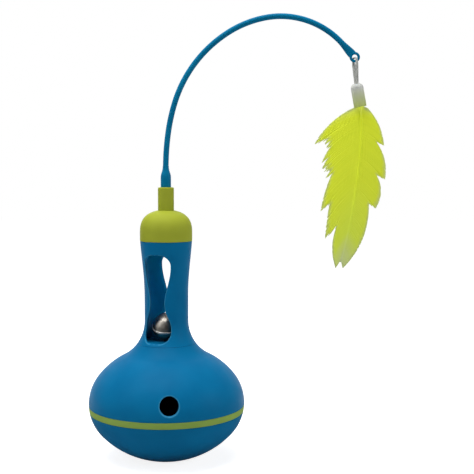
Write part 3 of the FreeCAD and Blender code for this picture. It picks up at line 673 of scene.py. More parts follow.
# %% Make the ring
skirt_low, skirt_wall_gap, ring_gap = ring_low - 7.85, 0.4, 0.2
skirt_outer = vase_radius(skirt_low, wall) - skirt_wall_gap
ring_bore = skirt_outer + ring_gap
ring_mid = even_heights(ring_low + edge_round, ring_high - edge_round, 0.6)
ring_lift = 0.03
ring_seat = ring_low + ring_lift
ring_line = np.concatenate([
    [(ring_bore, ring_seat)],
    arc((vase_radius(ring_seat) - edge_round, ring_seat + edge_round), edge_round, -90, -5, 5),
    face(ring_mid),
    arc((vase_radius(ring_high) - edge_round, ring_high - edge_round), edge_round, 5, 90, 5),
    [(ring_bore, ring_high)],
])
dressed("ring", [turned(ring_line, bowl_segments)], ring_plastic, "ring", "accent_ring")

# %% [markdown]
# ## Bulb shell
#
# The shell has one round treat hole in its front. A Boolean would leave ragged shading on
# the curved face, so the faces are laid out around the hole instead: the shell is an
# ordinary grid of angle and height with a rectangle left out, and the rectangle is filled by
# rays that run from the hole's round lip to its border. The same rays, moved in by the wall,
# make the inner face, and the lip between them is a small quarter circle. A skirt reaches
# down into the bowl, with three rising slots for the bowl's pins, so that a turn lifts the
# shell off the ring. Each slot is the room left between bars whose edges follow the rise.

# %% Rays between a hole and a rectangle
def around_vase(azimuth, height, inset=0.0):
    """Point of the vase's face at an azimuth in radians and a height."""
    return around_axis(vase_radius(height, inset), azimuth, height)


def border_points(low, high, across, along):
    """Points spread evenly along the sides of a rectangle with corners low and high."""
    x = np.linspace(low[0], high[0], across + 1)
    y = np.linspace(low[1], high[1], along + 1)
    return np.concatenate([
        np.stack([np.full(along, high[0]), y[:-1]], axis=-1),
        np.stack([x[:0:-1], np.full(across, high[1])], axis=-1),
        np.stack([np.full(along, low[0]), y[:0:-1]], axis=-1),
        np.stack([x[:-1], np.full(across, low[1])], axis=-1),
    ])


def grid_with_gap(azimuths, heights, gap_columns, gap_rows, inset=0.0):
    """The vase's face as a grid closed around the axis, less a block of its cells."""
    azimuth, height = np.meshgrid(azimuths, heights)
    points = around_vase(azimuth, height, inset)
    keep = np.ones((len(heights) - 1, len(azimuths)), bool)
    keep[gap_rows[0]:gap_rows[1], gap_columns[0]:gap_columns[1]] = False
    return points.reshape(-1, 3), grid_quads(len(heights), len(azimuths), False, True)[keep.ravel()]


# %% Make the bulb shell
hole_radius, hole_z, hole_azimuth, hole_round = 5.8, equator + 8.3, 5.7, 0.6
cage_z = waist_low - 14.8
spigot_radius, spigot_depth, press_gap = 14.45, 7.0, 0.05
collar_bore, collar_wall, cage_round = spigot_radius + press_gap, 1.9, 0.3
shell_low, shell_high = ring_high + edge_round, cage_z - cage_round
flange_top, crown_low = ring_high + 2.2, cage_z - 3.5
shell_segments, gap_cells, gap_reach = 240, 16, 8.0

gap_rows = np.linspace(hole_z - gap_reach, hole_z + gap_reach, gap_cells + 1)
rows_below = {0.0: np.linspace(shell_low, gap_rows[0], 5), wall: np.linspace(flange_top, gap_rows[0], 3)}
rows_above = {0.0: even_heights(gap_rows[-1], shell_high, 1.0),
              wall: even_heights(gap_rows[-1], crown_low, 1.0)}
hole_mid = math.radians(hole_azimuth - 90.0)
shell_columns = hole_mid + (np.arange(shell_segments) - gap_cells // 2) * (2 * math.pi / shell_segments)


def hole_ring(share, lip_radius, angle):
    """Hole's circle of a radius, at a share of the way from the outer face to the inner one.

    Its points have the hole's own axes: sideways R cos s, up R sin s. A cylinder of radius R
    meets a round face of radius r(z) at the azimuth asin(R cos s / r(z))."""
    height = hole_z + lip_radius * np.sin(angle)
    radius = (1 - share) * vase_radius(height) + share * vase_radius(height, wall)
    azimuth = hole_mid + np.arcsin(lip_radius * np.cos(angle) / radius)
    return azimuth, radius, height


border = border_points((shell_columns[0], gap_rows[0]), (shell_columns[gap_cells], gap_rows[-1]),
                       gap_cells, gap_cells)
sideways = (border[:, 0] - hole_mid) * vase_radius(border[:, 1])
ray_angle = np.arctan2(border[:, 1] - hole_z, sideways)


def hole_patch(inset):
    """Faces from the hole's lip to the gap's border, on the outer or inner face."""
    lip = hole_radius + (hole_round if inset == 0.0 else 0.0)
    azimuth, _, height = hole_ring(inset / wall, lip, ray_angle)
    share = (np.linspace(0, 1, 7) ** 1.4)[:, None]
    ray_azimuth = azimuth + (border[:, 0] - azimuth) * share
    ray_height = height + (border[:, 1] - height) * share
    return sheet(around_vase(ray_azimuth, ray_height, inset))


lip_turn = np.radians(np.linspace(0, 90, 7))[:, None]
lip_shares = np.concatenate([hole_round * (1 - np.cos(lip_turn)), [[1.0], [1.5], [wall]]]) / wall
lip_radii = np.concatenate([hole_radius + hole_round * (1 - np.sin(lip_turn)), np.full((3, 1), hole_radius)])
lip_azimuth, lip_reach, lip_height = hole_ring(lip_shares, lip_radii, ray_angle)

shell_faces = [sheet(around_axis(lip_reach, lip_azimuth, lip_height))]
for inset in (0.0, wall):
    below = rows_below[inset]
    rows = np.concatenate([below, gap_rows[1:], rows_above[inset][1:]])
    shell_faces.append(hole_patch(inset))
    gap_start = len(below) - 1
    gap = (0, gap_cells), (gap_start, gap_start + gap_cells)
    shell_faces.append(grid_with_gap(shell_columns, rows, *gap, inset))

skirt_wall, slot_gap, slot_end_gap = 2.0, 0.25, 0.15
skirt_bore = skirt_outer - skirt_wall
slot_half, lock_turn, lock_rise, end_room = pin_radius + slot_gap, 45.0, 2.0, 3.0
band_low = pin_z + slot_half + slot_end_gap
lower_lines = np.concatenate([
    [(vase_radius(shell_low), shell_low)],
    arc((vase_radius(ring_high) - edge_round, ring_high + edge_round), edge_round, -10, -90, 5),
    [(skirt_outer, ring_high), (skirt_outer, band_low), (skirt_bore, band_low), (skirt_bore, flange_top),
     (vase_radius(flange_top, wall), flange_top)],
])


def curved_bar(angle, low, high, inner, outer):
    """Closed bar round the axis: at each angle in degrees a rectangle, inner to outer, low to high."""
    radius = np.array([inner, outer, outer, inner])
    height = np.stack([low, low, high, high], axis=-1)
    return sheet(drawn_in(around_axis(radius, np.radians(angle)[:, None], height)))


# Under the slot, then full height between two slots, then over the next slot.
bar_steps, next_pin = 40, first_pin + third_turn
under = np.linspace(first_pin - lock_turn + end_room, first_pin + end_room, bar_steps)
between = np.linspace(first_pin + end_room, next_pin - lock_turn - end_room, bar_steps)
over = np.linspace(next_pin - lock_turn - end_room, next_pin, bar_steps)
bar_angle = np.concatenate([under, between, over])
bar_low = np.full(3 * bar_steps, skirt_low)
bar_low[2 * bar_steps:] = pin_z + slot_half - lock_rise * (next_pin - over) / lock_turn
bar_high = np.full(3 * bar_steps, band_low + 0.3)
bar_high[:bar_steps] = pin_z - slot_half - lock_rise * (first_pin - under) / lock_turn
for k in range(3):
    shell_faces.append(curved_bar(bar_angle + third_turn * k, bar_low, bar_high, skirt_bore, skirt_outer))

collar_low, collar_out = cage_z - spigot_depth, collar_bore + collar_wall
upper_lines = np.concatenate([
    [(vase_radius(shell_high), shell_high)],
    arc((vase_radius(cage_z) - cage_round, cage_z - cage_round), cage_round, 35, 90, 5),
    rounded([(collar_bore + 1, cage_z, 0), (collar_bore, cage_z, 0.2), (collar_bore, collar_low, 0.2),
             (collar_out, collar_low, 0.2), (collar_out, crown_low, 0.4),
             (vase_radius(crown_low, wall), crown_low, 0)], 5, False),
])
for line in (lower_lines, upper_lines):
    shell_faces.append(turned(line, shell_segments, False, math.degrees(shell_columns[0])))
bulb_shell = dressed("shell", shell_faces, blue_plastic, "vase", "bulb_shell")


def paint_edge_highlight(piece, distance, width):
    """Sets the edge attribute, a painted highlight: 1 on an edge, fading to 0 at a width from it, in
    millimetres.
    """
    value = np.clip(1 - distance / width, 0, 1)
    mark(piece.data, "edge", value)
    print("%-16s %6d points highlighted" % (piece.name, (value > 0).sum()))


# Only the lip gets the painted highlight: points nearer to the axis, or behind it, are taken out of reach.
lip_from, out_of_reach = 40.0, 9.0
shell_points = points_of(bulb_shell)
from_hole = np.hypot(shell_points[:, :2] @ heading(hole_azimuth), shell_points[:, 2] - hole_z)
behind = shell_points[:, :2] @ heading(hole_azimuth - 90.0) < lip_from
paint_edge_highlight(bulb_shell, np.abs(from_hole - hole_radius - hole_round / 2) + out_of_reach * behind, 0.6)

# %% [markdown]
# ## Neck with its windows
#
# The neck is one piece with two keyhole windows, one in front and one behind, and the bell
# shines through them. Each half of the neck is again filled by rays from a window's outline
# to a rectangle of angle and height. The outline is a round lobe below, flanks that draw in
# to a waist and open again, as Bezier curves, and round corners at the top.

# %% Window outline
window_azimuth = -23.0
cage_floor = 1.6
floor_z = cage_z + cage_floor
window_sill, window_height, waist_rise = 0.3, 55.5, 25.4
window_low = floor_z + window_sill
window_high = window_low + window_height
window_half = 8.85
low_corner, high_corner = 5.5, 6.2
waist_half, waist_z = 4.8, window_low + waist_rise
low_side, high_side = window_low + low_corner, window_high - high_corner
low_pull, waist_low_pull, waist_high_pull, high_pull = 11.0, 9.0, 5.5, 8.3
right_side = np.concatenate([
    [(0.0, window_low)],
    arc((window_half - low_corner, low_side), low_corner, -90, 0, 60),
    bezier([(window_half, low_side), (window_half, low_side + low_pull),
            (waist_half, waist_z - waist_low_pull), (waist_half, waist_z)], 120)[1:],
    bezier([(waist_half, waist_z), (waist_half, waist_z + waist_high_pull),
            (window_half, high_side - high_pull), (window_half, high_side)], 120)[1:],
    arc((window_half - high_corner, high_side), high_corner, 0, 90, 60)[1:],
    [(0.0, window_high)],
])
window_line = np.concatenate([right_side, right_side[-2:0:-1] * [-1, 1]])
window_centre = np.array([0.0, 104.0])
print("window %.1f to %.1f mm, %d outline points" % (window_low, window_high, len(window_line)))

# %% Make the neck
neck_low, neck_high = cage_z + cage_round, seam_z - edge_round
window_lip = 0.8
neck_across, neck_along = 96, 72
half_turn = math.pi / 2
border = border_points((-half_turn, neck_low), (half_turn, neck_high), neck_across, neck_along)
reach = (border - window_centre) * [neck_radius, 1.0]
ray_turn = np.arctan2(reach[:, 1], reach[:, 0])

line_turn = np.arctan2(window_line[:, 1] - window_centre[1], window_line[:, 0])
line_reach = np.hypot(window_line[:, 0], window_line[:, 1] - window_centre[1])
order = np.argsort(line_turn)
window_reach = np.interp(ray_turn, line_turn[order], line_reach[order], period=2 * math.pi)
window_ring = window_centre + window_reach[:, None] * np.stack([np.cos(ray_turn), np.sin(ray_turn)], axis=-1)
step = np.roll(window_ring, -1, axis=0) - np.roll(window_ring, 1, axis=0)
outward = np.stack([step[:, 1], -step[:, 0]], axis=-1)
outward = outward / np.linalg.norm(outward, axis=1, keepdims=True)


def on_neck(share, offset, height):
    """Neck's point at a sideways offset u from the window's middle: azimuth asin(u / r(z))."""
    radius = (1 - share) * vase_radius(height) + share * vase_radius(height, wall)
    azimuth = np.arcsin(offset / radius)
    return azimuth, radius


neck_faces = []
lip_quarter = np.radians(np.linspace(0, 90, 6))[:, None]
outer_shares = window_lip * (1 - np.cos(lip_quarter)) / wall
outer_grow = window_lip * (1 - np.sin(lip_quarter))
shares = np.concatenate([outer_shares, [[0.5]], 1 - outer_shares[::-1]])
grows = np.concatenate([outer_grow, [[0.0]], outer_grow[::-1]])
lip_ring = window_ring[None] + grows[:, :, None] * outward[None]
lip_azimuth, lip_reach = on_neck(shares, lip_ring[..., 0], lip_ring[..., 1])
sheets = [(lip_azimuth, lip_reach, lip_ring[..., 1])]
fade = (np.linspace(0, 1, 16) ** 1.15)[:, None]
for inset, row in ((0.0, 0), (wall, -1)):
    azimuth = lip_azimuth[row] + (border[:, 0] - lip_azimuth[row]) * fade
    height = lip_ring[row, :, 1] + (border[:, 1] - lip_ring[row, :, 1]) * fade
    sheets.append((azimuth, vase_radius(height, inset), height))
for azimuth, radius, height in sheets:
    for turn in (window_azimuth - 90.0, window_azimuth + 90.0):
        neck_faces.append(sheet(around_axis(radius, azimuth + math.radians(turn), height)))

neck_top = np.concatenate([
    [(vase_radius(neck_high), neck_high)],
    arc((neck_top_radius - edge_round, seam_z - edge_round), edge_round, 0, 90, 5),
    arc((neck_top_radius - wall + edge_round, seam_z - edge_round), edge_round, 90, 180, 5),
    [(vase_radius(neck_high, wall), neck_high)],
])
neck_bottom = np.concatenate([
    [(vase_radius(neck_low, wall), neck_low), (vase_radius(neck_low, wall), cage_z + 0.05)],
    arc((vase_radius(cage_z) - cage_round, cage_z + cage_round), cage_round, -90, -30, 5),
    [(vase_radius(neck_low), neck_low)],
])
for line in (neck_top, neck_bottom):
    neck_faces.append(turned(line, 2 * neck_across, False, window_azimuth))
spigot_bore, spigot_low = spigot_radius - 1.8, cage_z - spigot_depth
floor_under, seam_under = floor_z - 0.8 * cage_floor, cage_z + 0.1
floor_line = rounded([
    (0.0, floor_z, 0), (vase_radius(floor_z, wall) + 0.6, floor_z, 0),
    (vase_radius(cage_z, wall) + 0.6, seam_under, 0), (spigot_radius, seam_under, 0),
    (spigot_radius, spigot_low, 0.4), (spigot_bore, spigot_low, 0.3), (spigot_bore, floor_under, 0.4),
    (0.0, floor_under, 0)], 5, False)
floor_line = np.concatenate([[(0.0, floor_z)], floor_line, [(0.0, floor_under)]])
neck_faces.append(turned(floor_line, 96, False))
neck = dressed("neck", neck_faces, blue_plastic, "vase", "neck_cage")

highlight_middle, highlight_width, inner_from, inner_fade = 0.3, 0.4, 1.0, 0.8
neck_points = points_of(neck)
window_side = neck_points[:, :2] @ heading(window_azimuth)
flat = np.stack([np.abs(window_side), neck_points[:, 2]], axis=-1)
from_edge = np.array([np.hypot(*(right_side - place).T).min() for place in flat])
inside_by = vase_radius(neck_points[:, 2]) - np.hypot(neck_points[:, 0], neck_points[:, 1])
within = np.clip(inside_by - highlight_width, 0, out_of_reach)
# Painted highlight: a paler band along the window's rim.
paint_edge_highlight(neck, np.abs(from_edge - highlight_middle) + within, highlight_width)
# Painted light: the inner faces get a brighter colour than the lamps give them.
painted_inner_light = np.clip((inside_by - inner_from) / inner_fade, 0, 1).astype(np.float32)
mark(neck.data, "inside", painted_inner_light)
# Painted shade: low in the neck the inner faces get a darker colour.
painted_shade_top, painted_shade_fade = 90.0, 9.0
neck_painted_shade = np.clip((painted_shade_top - neck_points[:, 2]) / painted_shade_fade, 0, 1).astype(np.float32)
mark(neck.data, "painted_shade", painted_inner_light * neck_painted_shade)

# %% [markdown]
# ## Cap
#
# The cap is a dome on a short upright side, and its skirt plugs the neck. Its outline is
# drawn once around, outside and inside, so that it turns into a closed shell.

# %% Make the cap
cap_radius, cap_side, cap_rise, cap_crown = 16.7, 6.0, 13.5, 2.3
dome_z = seam_z + cap_side
cap_top = dome_z + cap_rise
cap_seat, hub_bore, hub_radius, hub_low = 5.2, 4.35, 6.45, cap_top - 6.7
cap_inner, inner_top = cap_radius - wall, cap_top - cap_crown
skirt_out, skirt_in, cap_low = 13.9, 12.2, seam_z - 6.0
dome_poles = [
    (cap_radius, dome_z), (cap_radius, dome_z + 0.57 * cap_rise),
    (cap_seat + 0.68 * (cap_radius - cap_seat), cap_top - 1.5), (cap_seat, cap_top)]
inner_poles = [
    (cap_inner, dome_z), (cap_inner, dome_z + 0.52 * (inner_top - dome_z)),
    (hub_radius + 0.62 * (cap_inner - hub_radius), inner_top - 1.6), (hub_radius, inner_top)]
cap_line = np.concatenate([
    arc((cap_radius - edge_round, seam_z + edge_round), edge_round, -90, 0, 6),
    [(cap_radius, seam_z + cap_side / 3), (cap_radius, seam_z + cap_side * 2 / 3)],
    bezier(dome_poles, 40),
    rounded([(cap_seat, cap_top, 0), (hub_bore, cap_top, 0.15), (hub_bore, hub_low, 0.15),
             (hub_radius, hub_low, 0.3), (hub_radius, inner_top, 0)], 4, False),
    bezier(inner_poles, 24)[::-1],
    rounded([(cap_inner, dome_z, 0), (cap_inner, seam_z + wall, 0.3), (skirt_in, seam_z + wall, 0.3),
             (skirt_in, cap_low, 0.3), (skirt_out, cap_low, 0.4), (skirt_out, seam_z, 0.2),
             (cap_radius - edge_round, seam_z, 0)], 4, False),
])
dressed("cap", [turned(cap_line, 160)], green_plastic, "vase", "cap")

# %% [markdown]
# ## Collar and wand plug
#
# The yellow-green collar turns in the cap's hub and holds the wand. The wand's own foot is a
# teal plug: a shank in the collar, a short straight shoulder and a taper up to the rod.

# %% Make the collar and the plug
collar_top = cap_top + 14.7
collar_radius, stem_radius, groove_radius, wand_bore = 5.1, 4.3, 3.6, 3.05
stem_low, bore_low = hub_low - 2.0, collar_top - 14.0
clip_play, clip_thickness = 0.1, 0.9
clip_high = hub_low - clip_play
clip_low = clip_high - clip_thickness
collar_line = rounded([
    (0.0, stem_low, 0), (stem_radius, stem_low, 0.3), (stem_radius, clip_low, 0),
    (groove_radius, clip_low, 0), (groove_radius, clip_high, 0), (stem_radius, clip_high, 0),
    (stem_radius, cap_top, 0), (collar_radius, cap_top, 0.15), (collar_radius, collar_top, 0.8),
    (wand_bore, collar_top, 0.25), (wand_bore, bore_low, 0), (0.0, bore_low, 0)], 7, False)
collar_line = np.concatenate([[(0.0, stem_low)], collar_line, [(0.0, bore_low)]])
dressed("collar", [turned(collar_line, 96, False)], green_plastic, "collar", "wand_collar")

rod_radius = 1.82
socket = rod_radius + 0.05
plug_radius, plug_shoulder = 3.0, 3.28
plug_low, taper_low = collar_top - 13.9, collar_top + 5.9
plug_top = taper_low + 7.6
rod_low = plug_top - 15.1
plug_line = rounded([
    (0.0, plug_low, 0), (plug_radius, plug_low, 0.3), (plug_radius, collar_top, 0),
    (plug_shoulder, collar_top, 0.15), (plug_shoulder, taper_low, 0)], 7, False)
taper = bezier([(plug_shoulder, taper_low), (plug_shoulder, taper_low + 3.4), (socket + 0.08, plug_top - 3.8),
                (socket + 0.06, plug_top)], 24)
plug_line = np.concatenate([
    [(0.0, plug_low)], plug_line, taper, [(socket, plug_top), (socket, rod_low), (0.0, rod_low)]])
dressed("plug", [turned(plug_line, 64, False)], teal_plastic, "wand_foot", "wand_plug")

# %% [markdown]
# ## Springy rod
#
# The rod leaves the plug upright and bends over in a spiral of five tangent arcs, each
# tighter than the last. A small circle is carried along that line.

# %% Tubes
def tube(path, radius, normal, sides):
    """A circle carried along a flat path, closed at both ends.

    For a path square to N its points are p + r (cos a N + sin a T x N)."""
    path = np.array(path, float)
    tangent = np.gradient(path, axis=0)
    tangent = tangent / np.linalg.norm(tangent, axis=1, keepdims=True)
    across = np.cross(tangent, normal)
    angle = np.linspace(0, 2 * np.pi, sides, endpoint=False)
    radius = np.broadcast_to(radius, len(path))[:, None, None]
    ring = np.cos(angle)[:, None] * np.array(normal) + np.sin(angle)[:, None] * across[:, None, :]
    return sheet(drawn_in(path[:, None, :] + radius * ring))


# %% Make the rod
rod_arc_radii = [162.8, 119.8, 80.3, 66.6, 52.8]
rod_arc_headings = [81.5, 72.8, 31.4, 10.6, -45.5]
rod_line = [np.linspace((0.0, rod_low), (0.0, plug_top - 2.0), 14)]
rod_heading = 90.0
for arc_radius, next_heading in zip(rod_arc_radii, rod_arc_headings):
    arc_centre = rod_line[-1][-1] + arc_radius * heading(rod_heading - 90)
    steps = max(8, int(arc_radius * math.radians(rod_heading - next_heading) / 1.5))
    rod_line.append(arc(arc_centre, arc_radius, rod_heading + 90, next_heading + 90, steps)[1:])
    rod_heading = next_heading
rod_line = np.concatenate(rod_line)
rod_end = rod_line[-1]
rod_path = np.stack([rod_line[:, 0], np.zeros(len(rod_line)), rod_line[:, 1]], axis=-1)
rod = new_piece("rod", [tube(rod_path, rod_radius, (0.0, 1.0, 0.0), 32)])
rod.data.materials.append(teal_plastic)
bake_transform(rod)
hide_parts("wand_rod")
print("rod ends at", rod_end.round(1), "after", len(rod_path), "rings")

# %% [markdown]
# ## Eye at the wand's tip
#
# The rod flattens and widens into a small eye. The flare is a row of ellipses that grow wide
# and thin, and the eye is a turned ring with soft edges.

# %% Make the eye
tip_droop, tip_length, flare_reach = 1.46, 13.367, 11.1
flare_width, flare_thickness, flare_sides = 2.75, 0.74, 32
eye_radius, eye_hole, eye_half = 3.3, 1.65, 0.75

tip_heading = rod_heading - tip_droop
forward = heading(tip_heading)
sideways_tip = heading(tip_heading + 90)
eye_centre = rod_end + tip_length * forward
flare_at = np.linspace(-1.2, flare_reach, 26)
flare_share = np.clip(flare_at / flare_reach, 0, 1)
smooth_share = flare_share * flare_share * (3 - 2 * flare_share)
flare_wide = rod_radius + (flare_width - rod_radius) * smooth_share
flare_thin = rod_radius + (flare_thickness - rod_radius) * smooth_share
ring_angle = np.linspace(0, 2 * np.pi, flare_sides, endpoint=False)
line_2d = rod_end + flare_at[:, None] * forward
flare_u = flare_wide[:, None] * np.cos(ring_angle)
flare_points = np.stack([
    line_2d[:, :1] + flare_u * sideways_tip[0],
    flare_thin[:, None] * np.sin(ring_angle),
    line_2d[:, 1:] + flare_u * sideways_tip[1]], axis=-1)
flare = sheet(drawn_in(flare_points))
eye_ring = turned(rounded([(eye_hole, -eye_half, 0.4), (eye_radius, -eye_half, 0.45),
                           (eye_radius, eye_half, 0.45), (eye_hole, eye_half, 0.4)], 6), 64)
eye_ring = placed(eye_ring, lean=(1.0, 0.0, 0.0), lean_angle=90.0, shift=(eye_centre[0], 0.0, eye_centre[1]))
fitted(new_piece("eye", [flare, eye_ring]), teal_plastic, "wand_tip", "tip_eye")

# %% [markdown]
# ## Clear loop
#
# A moulded loop of cloudy plastic hangs through the eye, and the sleeve grips both its ends.
# It keeps its shape, so it is a rigid piece that swings about the eye. Its strands are thin
# in the eye and thicker below, where they nearly close the gap between them.

# %% Clear materials
def clear_plastic(name, colour, roughness, transmission, bump, haze=0.0, shown=None):
    """Clear or frosted plastic: some light goes through, and haze spreads some inside.

    The colour named shown comes through where a point attribute named root is 1."""
    material, tree, shader = base_material(name)
    dress(tree, shader, Base_Color=mixed(tree, attribute(tree, "root"), colour, shown) if shown else colour,
          Roughness=spread(tree, noise(tree, 900.0), roughness * 0.8, roughness * 1.2),
          Transmission_Weight=transmission, IOR=1.3, Specular_IOR_Level=0.3,
          Subsurface_Weight=haze, Subsurface_Radius=(1.0, 1.0, 1.0), Subsurface_Scale=1.2 * MM)
    grain(tree, shader, 1200.0, bump)
    return material


clear_filament = clear_plastic("clear filament", linear(190, 191, 186), 0.6, 0.0, 0.1, 0.3)
frosted_plastic = clear_plastic("frosted plastic", linear(231, 233, 228), 0.6, 0.25, 0.08,
                                shown=linear(212, 225, 133))
print("materials", clear_filament.name, "and", frosted_plastic.name)

# %% Make the loop
loop_seat_drop, loop_drop, loop_lean, loop_tail = 0.5, 16.7, 1.2, 3.0
loop_turn = 70.0
bend_radius, bend_side, foot_half = 1.3, 1.2, 0.8

loop_pivot = np.array([eye_centre[0], 0.0, eye_centre[1] - loop_seat_drop])
sleeve_top = np.array([eye_centre[0] + loop_lean, 0.0, eye_centre[1] - loop_drop])
hang = sleeve_top - loop_pivot
foot_depth = np.linalg.norm(hang) + loop_tail
hang = hang / np.linalg.norm(hang)
loop_side = np.array([*heading(-loop_turn), 0.0])
# A strand runs straight from its foot to where it touches the top bend's circle.
to_strand_foot = np.array([foot_half - bend_side, foot_depth - bend_radius])
touch = math.degrees(math.atan2(to_strand_foot[1], to_strand_foot[0])
                     - math.acos(bend_radius / np.linalg.norm(to_strand_foot)))
touch_point = polar((bend_side, bend_radius), bend_radius, touch)
top_half = touch_point[0] + (touch_point[0] - foot_half) * touch_point[1] / (foot_depth - touch_point[1])
loop_corners = [(-foot_half, foot_depth, 0), (-top_half, 0.0, bend_radius), (top_half, 0.0, bend_radius),
                (foot_half, foot_depth, 0)]
loop_line = rounded(loop_corners, 14, False)
loop_run = np.concatenate([[0.0], np.cumsum(np.linalg.norm(np.diff(loop_line, axis=0), axis=1))])
run_steps = np.linspace(0, loop_run[-1], 160)
loop_line = np.stack([np.interp(run_steps, loop_run, loop_line[:, k]) for k in (0, 1)], axis=-1)
loop_path = loop_pivot + loop_line[:, :1] * loop_side + loop_line[:, 1:] * hang
loop_normal = np.cross(loop_side, hang)
loop_normal = loop_normal / np.linalg.norm(loop_normal)
thin_radius, thicker_by, thinner_by, thin_until, thick_after = 0.62, 0.4, 0.2, 0.6, 4.5
loop_depth = np.clip((loop_line[:, 1] - thin_until) / (thick_after - thin_until), 0, 1)
strand_radius = (thin_radius + thicker_by * loop_depth ** 2 * (3 - 2 * loop_depth)
                 - thinner_by * loop_line[:, 1] / foot_depth)
loop = new_piece("loop", [tube(loop_path, strand_radius, loop_normal, 24)])
fitted(loop, clear_filament, "loop", "hanger_loop")

# %% [markdown]
# ## Sleeve
#
# A frosted sleeve joins the loop to the feather. The feather's root is bunched inside and
# shows through as a pale green shade, which an attribute along the sleeve mixes in. Making
# the whole sleeve see-through would show it too, but that renders grainy.

# %% Make the sleeve
sleeve_tilt, sleeve_length = 10.2, 14.7
sleeve_down = np.array([math.sin(math.radians(sleeve_tilt)), 0.0, -math.cos(math.radians(sleeve_tilt))])
mouth = sleeve_top + sleeve_down * sleeve_length
sleeve_radius, root_bore, root_depth, top_radius, top_bore = 4.0, 3.1, 9.5, 2.9, 2.0
sleeve_shoulder = 2.0
sleeve_line = rounded([
    (root_bore, 0.0, 0.2), (sleeve_radius, 0.0, 0.3), (sleeve_radius, sleeve_length - sleeve_shoulder, 2.2),
    (top_radius, sleeve_length, 0.9), (top_bore, sleeve_length, 0.2), (top_bore, root_depth, 0.1),
    (root_bore, root_depth, 0.3)], 6)
sleeve = dressed("sleeve", [placed(turned(sleeve_line, 64), lean_angle=-sleeve_tilt, shift=mouth)],
                 frosted_plastic, "feather", "feather_sleeve")
sleeve_depth = (points_of(sleeve) - sleeve_top) @ sleeve_down
shade_start, shade_end = 3.5, 12.5
mark(sleeve.data, "root", np.clip((sleeve_depth - shade_start) / (shade_end - shade_start), 0, 1))

# %% [markdown]
# ## Feather
#
# A feather is hundreds of barbs that leave a thin quill at a slant and lie side by side. The
# lobes of its ragged outline are where barbs cling together, and its notches where they part.
# Each barb here is a narrow ribbon. It starts on the quill, runs at the slant that barbs have
# there and ends where it first leaves the outline, so the edge is made of barb tips. All
# ribbons are worked out together as one array, and the whole vane is bowed a little.

# %% Feather outline
quill_reach = 18.0
quill_poles = np.array([(0.0, 0.0), quill_reach * sleeve_down[[0, 2]], (-3.0, -70.0), (-11.6, -96.9)])
left_start, right_start = (-4.8, -1.5), (4.0, -0.2)
left_lobes = [
    ((-28.7, -23.7), 2.9, (-21.0, -21.0)), ((-22.5, -24.6), 0.2, (-18.7, -21.6)),
    ((-21.4, -26.2), 0.2, (-19.0, -25.9)), ((-24.0, -35.4), 0.4, (-20.9, -33.5)),
    ((-23.8, -39.2), 0.2, (-19.7, -38.9)), ((-22.4, -41.1), 0.2, (-18.1, -40.5)),
    ((-22.4, -45.8), 0.3, (-17.8, -42.7)), ((-24.6, -66.2), 0.8, (-19.0, -61.8)),
    ((-21.8, -84.1), 0.4, (-14.8, -76.9)), ((-15.0, -102.6), 2.3, (-11.6, -96.9))]
right_lobes = [
    ((15.7, -24.3), 2.4, (10.5, -22.3)), ((16.7, -46.2), 2.8, (10.8, -43.1)),
    ((10.7, -64.6), 3.4, (6.2, -61.6)), ((-11.7, -104.0), 5.2, (-11.6, -96.9))]


def bowed(start, end, bow, hand, steps=12):
    """A parabola between two points whose middle stands out by the bow: 4 b t (1 - t)."""
    start, end = np.array(start), np.array(end)
    along = end - start
    outward = np.array([-along[1], along[0]]) / np.linalg.norm(along) * hand
    t = np.linspace(0, 1, steps)[:, None]
    return start + along * t + outward * 4 * bow * t * (1 - t)


def vane_outline(start, lobes, hand):
    """Outer edge of one side of the feather, from its top to the quill's tip."""
    parts = [np.array([quill_poles[0], start], float)]
    point = start
    for tip, bow, notch in lobes:
        parts.append(bowed(point, tip, bow, hand))
        parts.append(np.array([notch], float))
        point = notch
    return np.concatenate(parts)


def first_exit(origins, directions, outline):
    """Distance along each ray to the first piece of the outline that it crosses."""
    a, b = outline[:-1], outline[1:]
    edge = b - a
    gap = a[None] - origins[:, None]
    cross = directions[:, None, 0] * edge[None, :, 1] - directions[:, None, 1] * edge[None, :, 0]
    cross = np.where(np.abs(cross) < 1e-9, 1e-9, cross)
    distance = (gap[..., 0] * edge[None, :, 1] - gap[..., 1] * edge[None, :, 0]) / cross
    share = (gap[..., 0] * directions[:, None, 1] - gap[..., 1] * directions[:, None, 0]) / cross
    hit = (share >= 0) & (share <= 1) & (distance > 0.05)
    return np.where(hit, distance, np.inf).min(axis=1)


# %% Barbs
rng = np.random.default_rng(7)
chord = quill_poles[3] / np.linalg.norm(quill_poles[3])
camber_radius = 60.0
barb_rows, barb_count = 12, 360
barb_half, layer_step, edge_step = 0.62, 0.05, 0.03


def camber(points):
    """Depth of the bowed vane: R - sqrt(R^2 - d^2) at a distance d from the chord."""
    away = points[..., 0] * chord[1] - points[..., 1] * chord[0]
    return camber_radius - np.sqrt(camber_radius ** 2 - away ** 2)


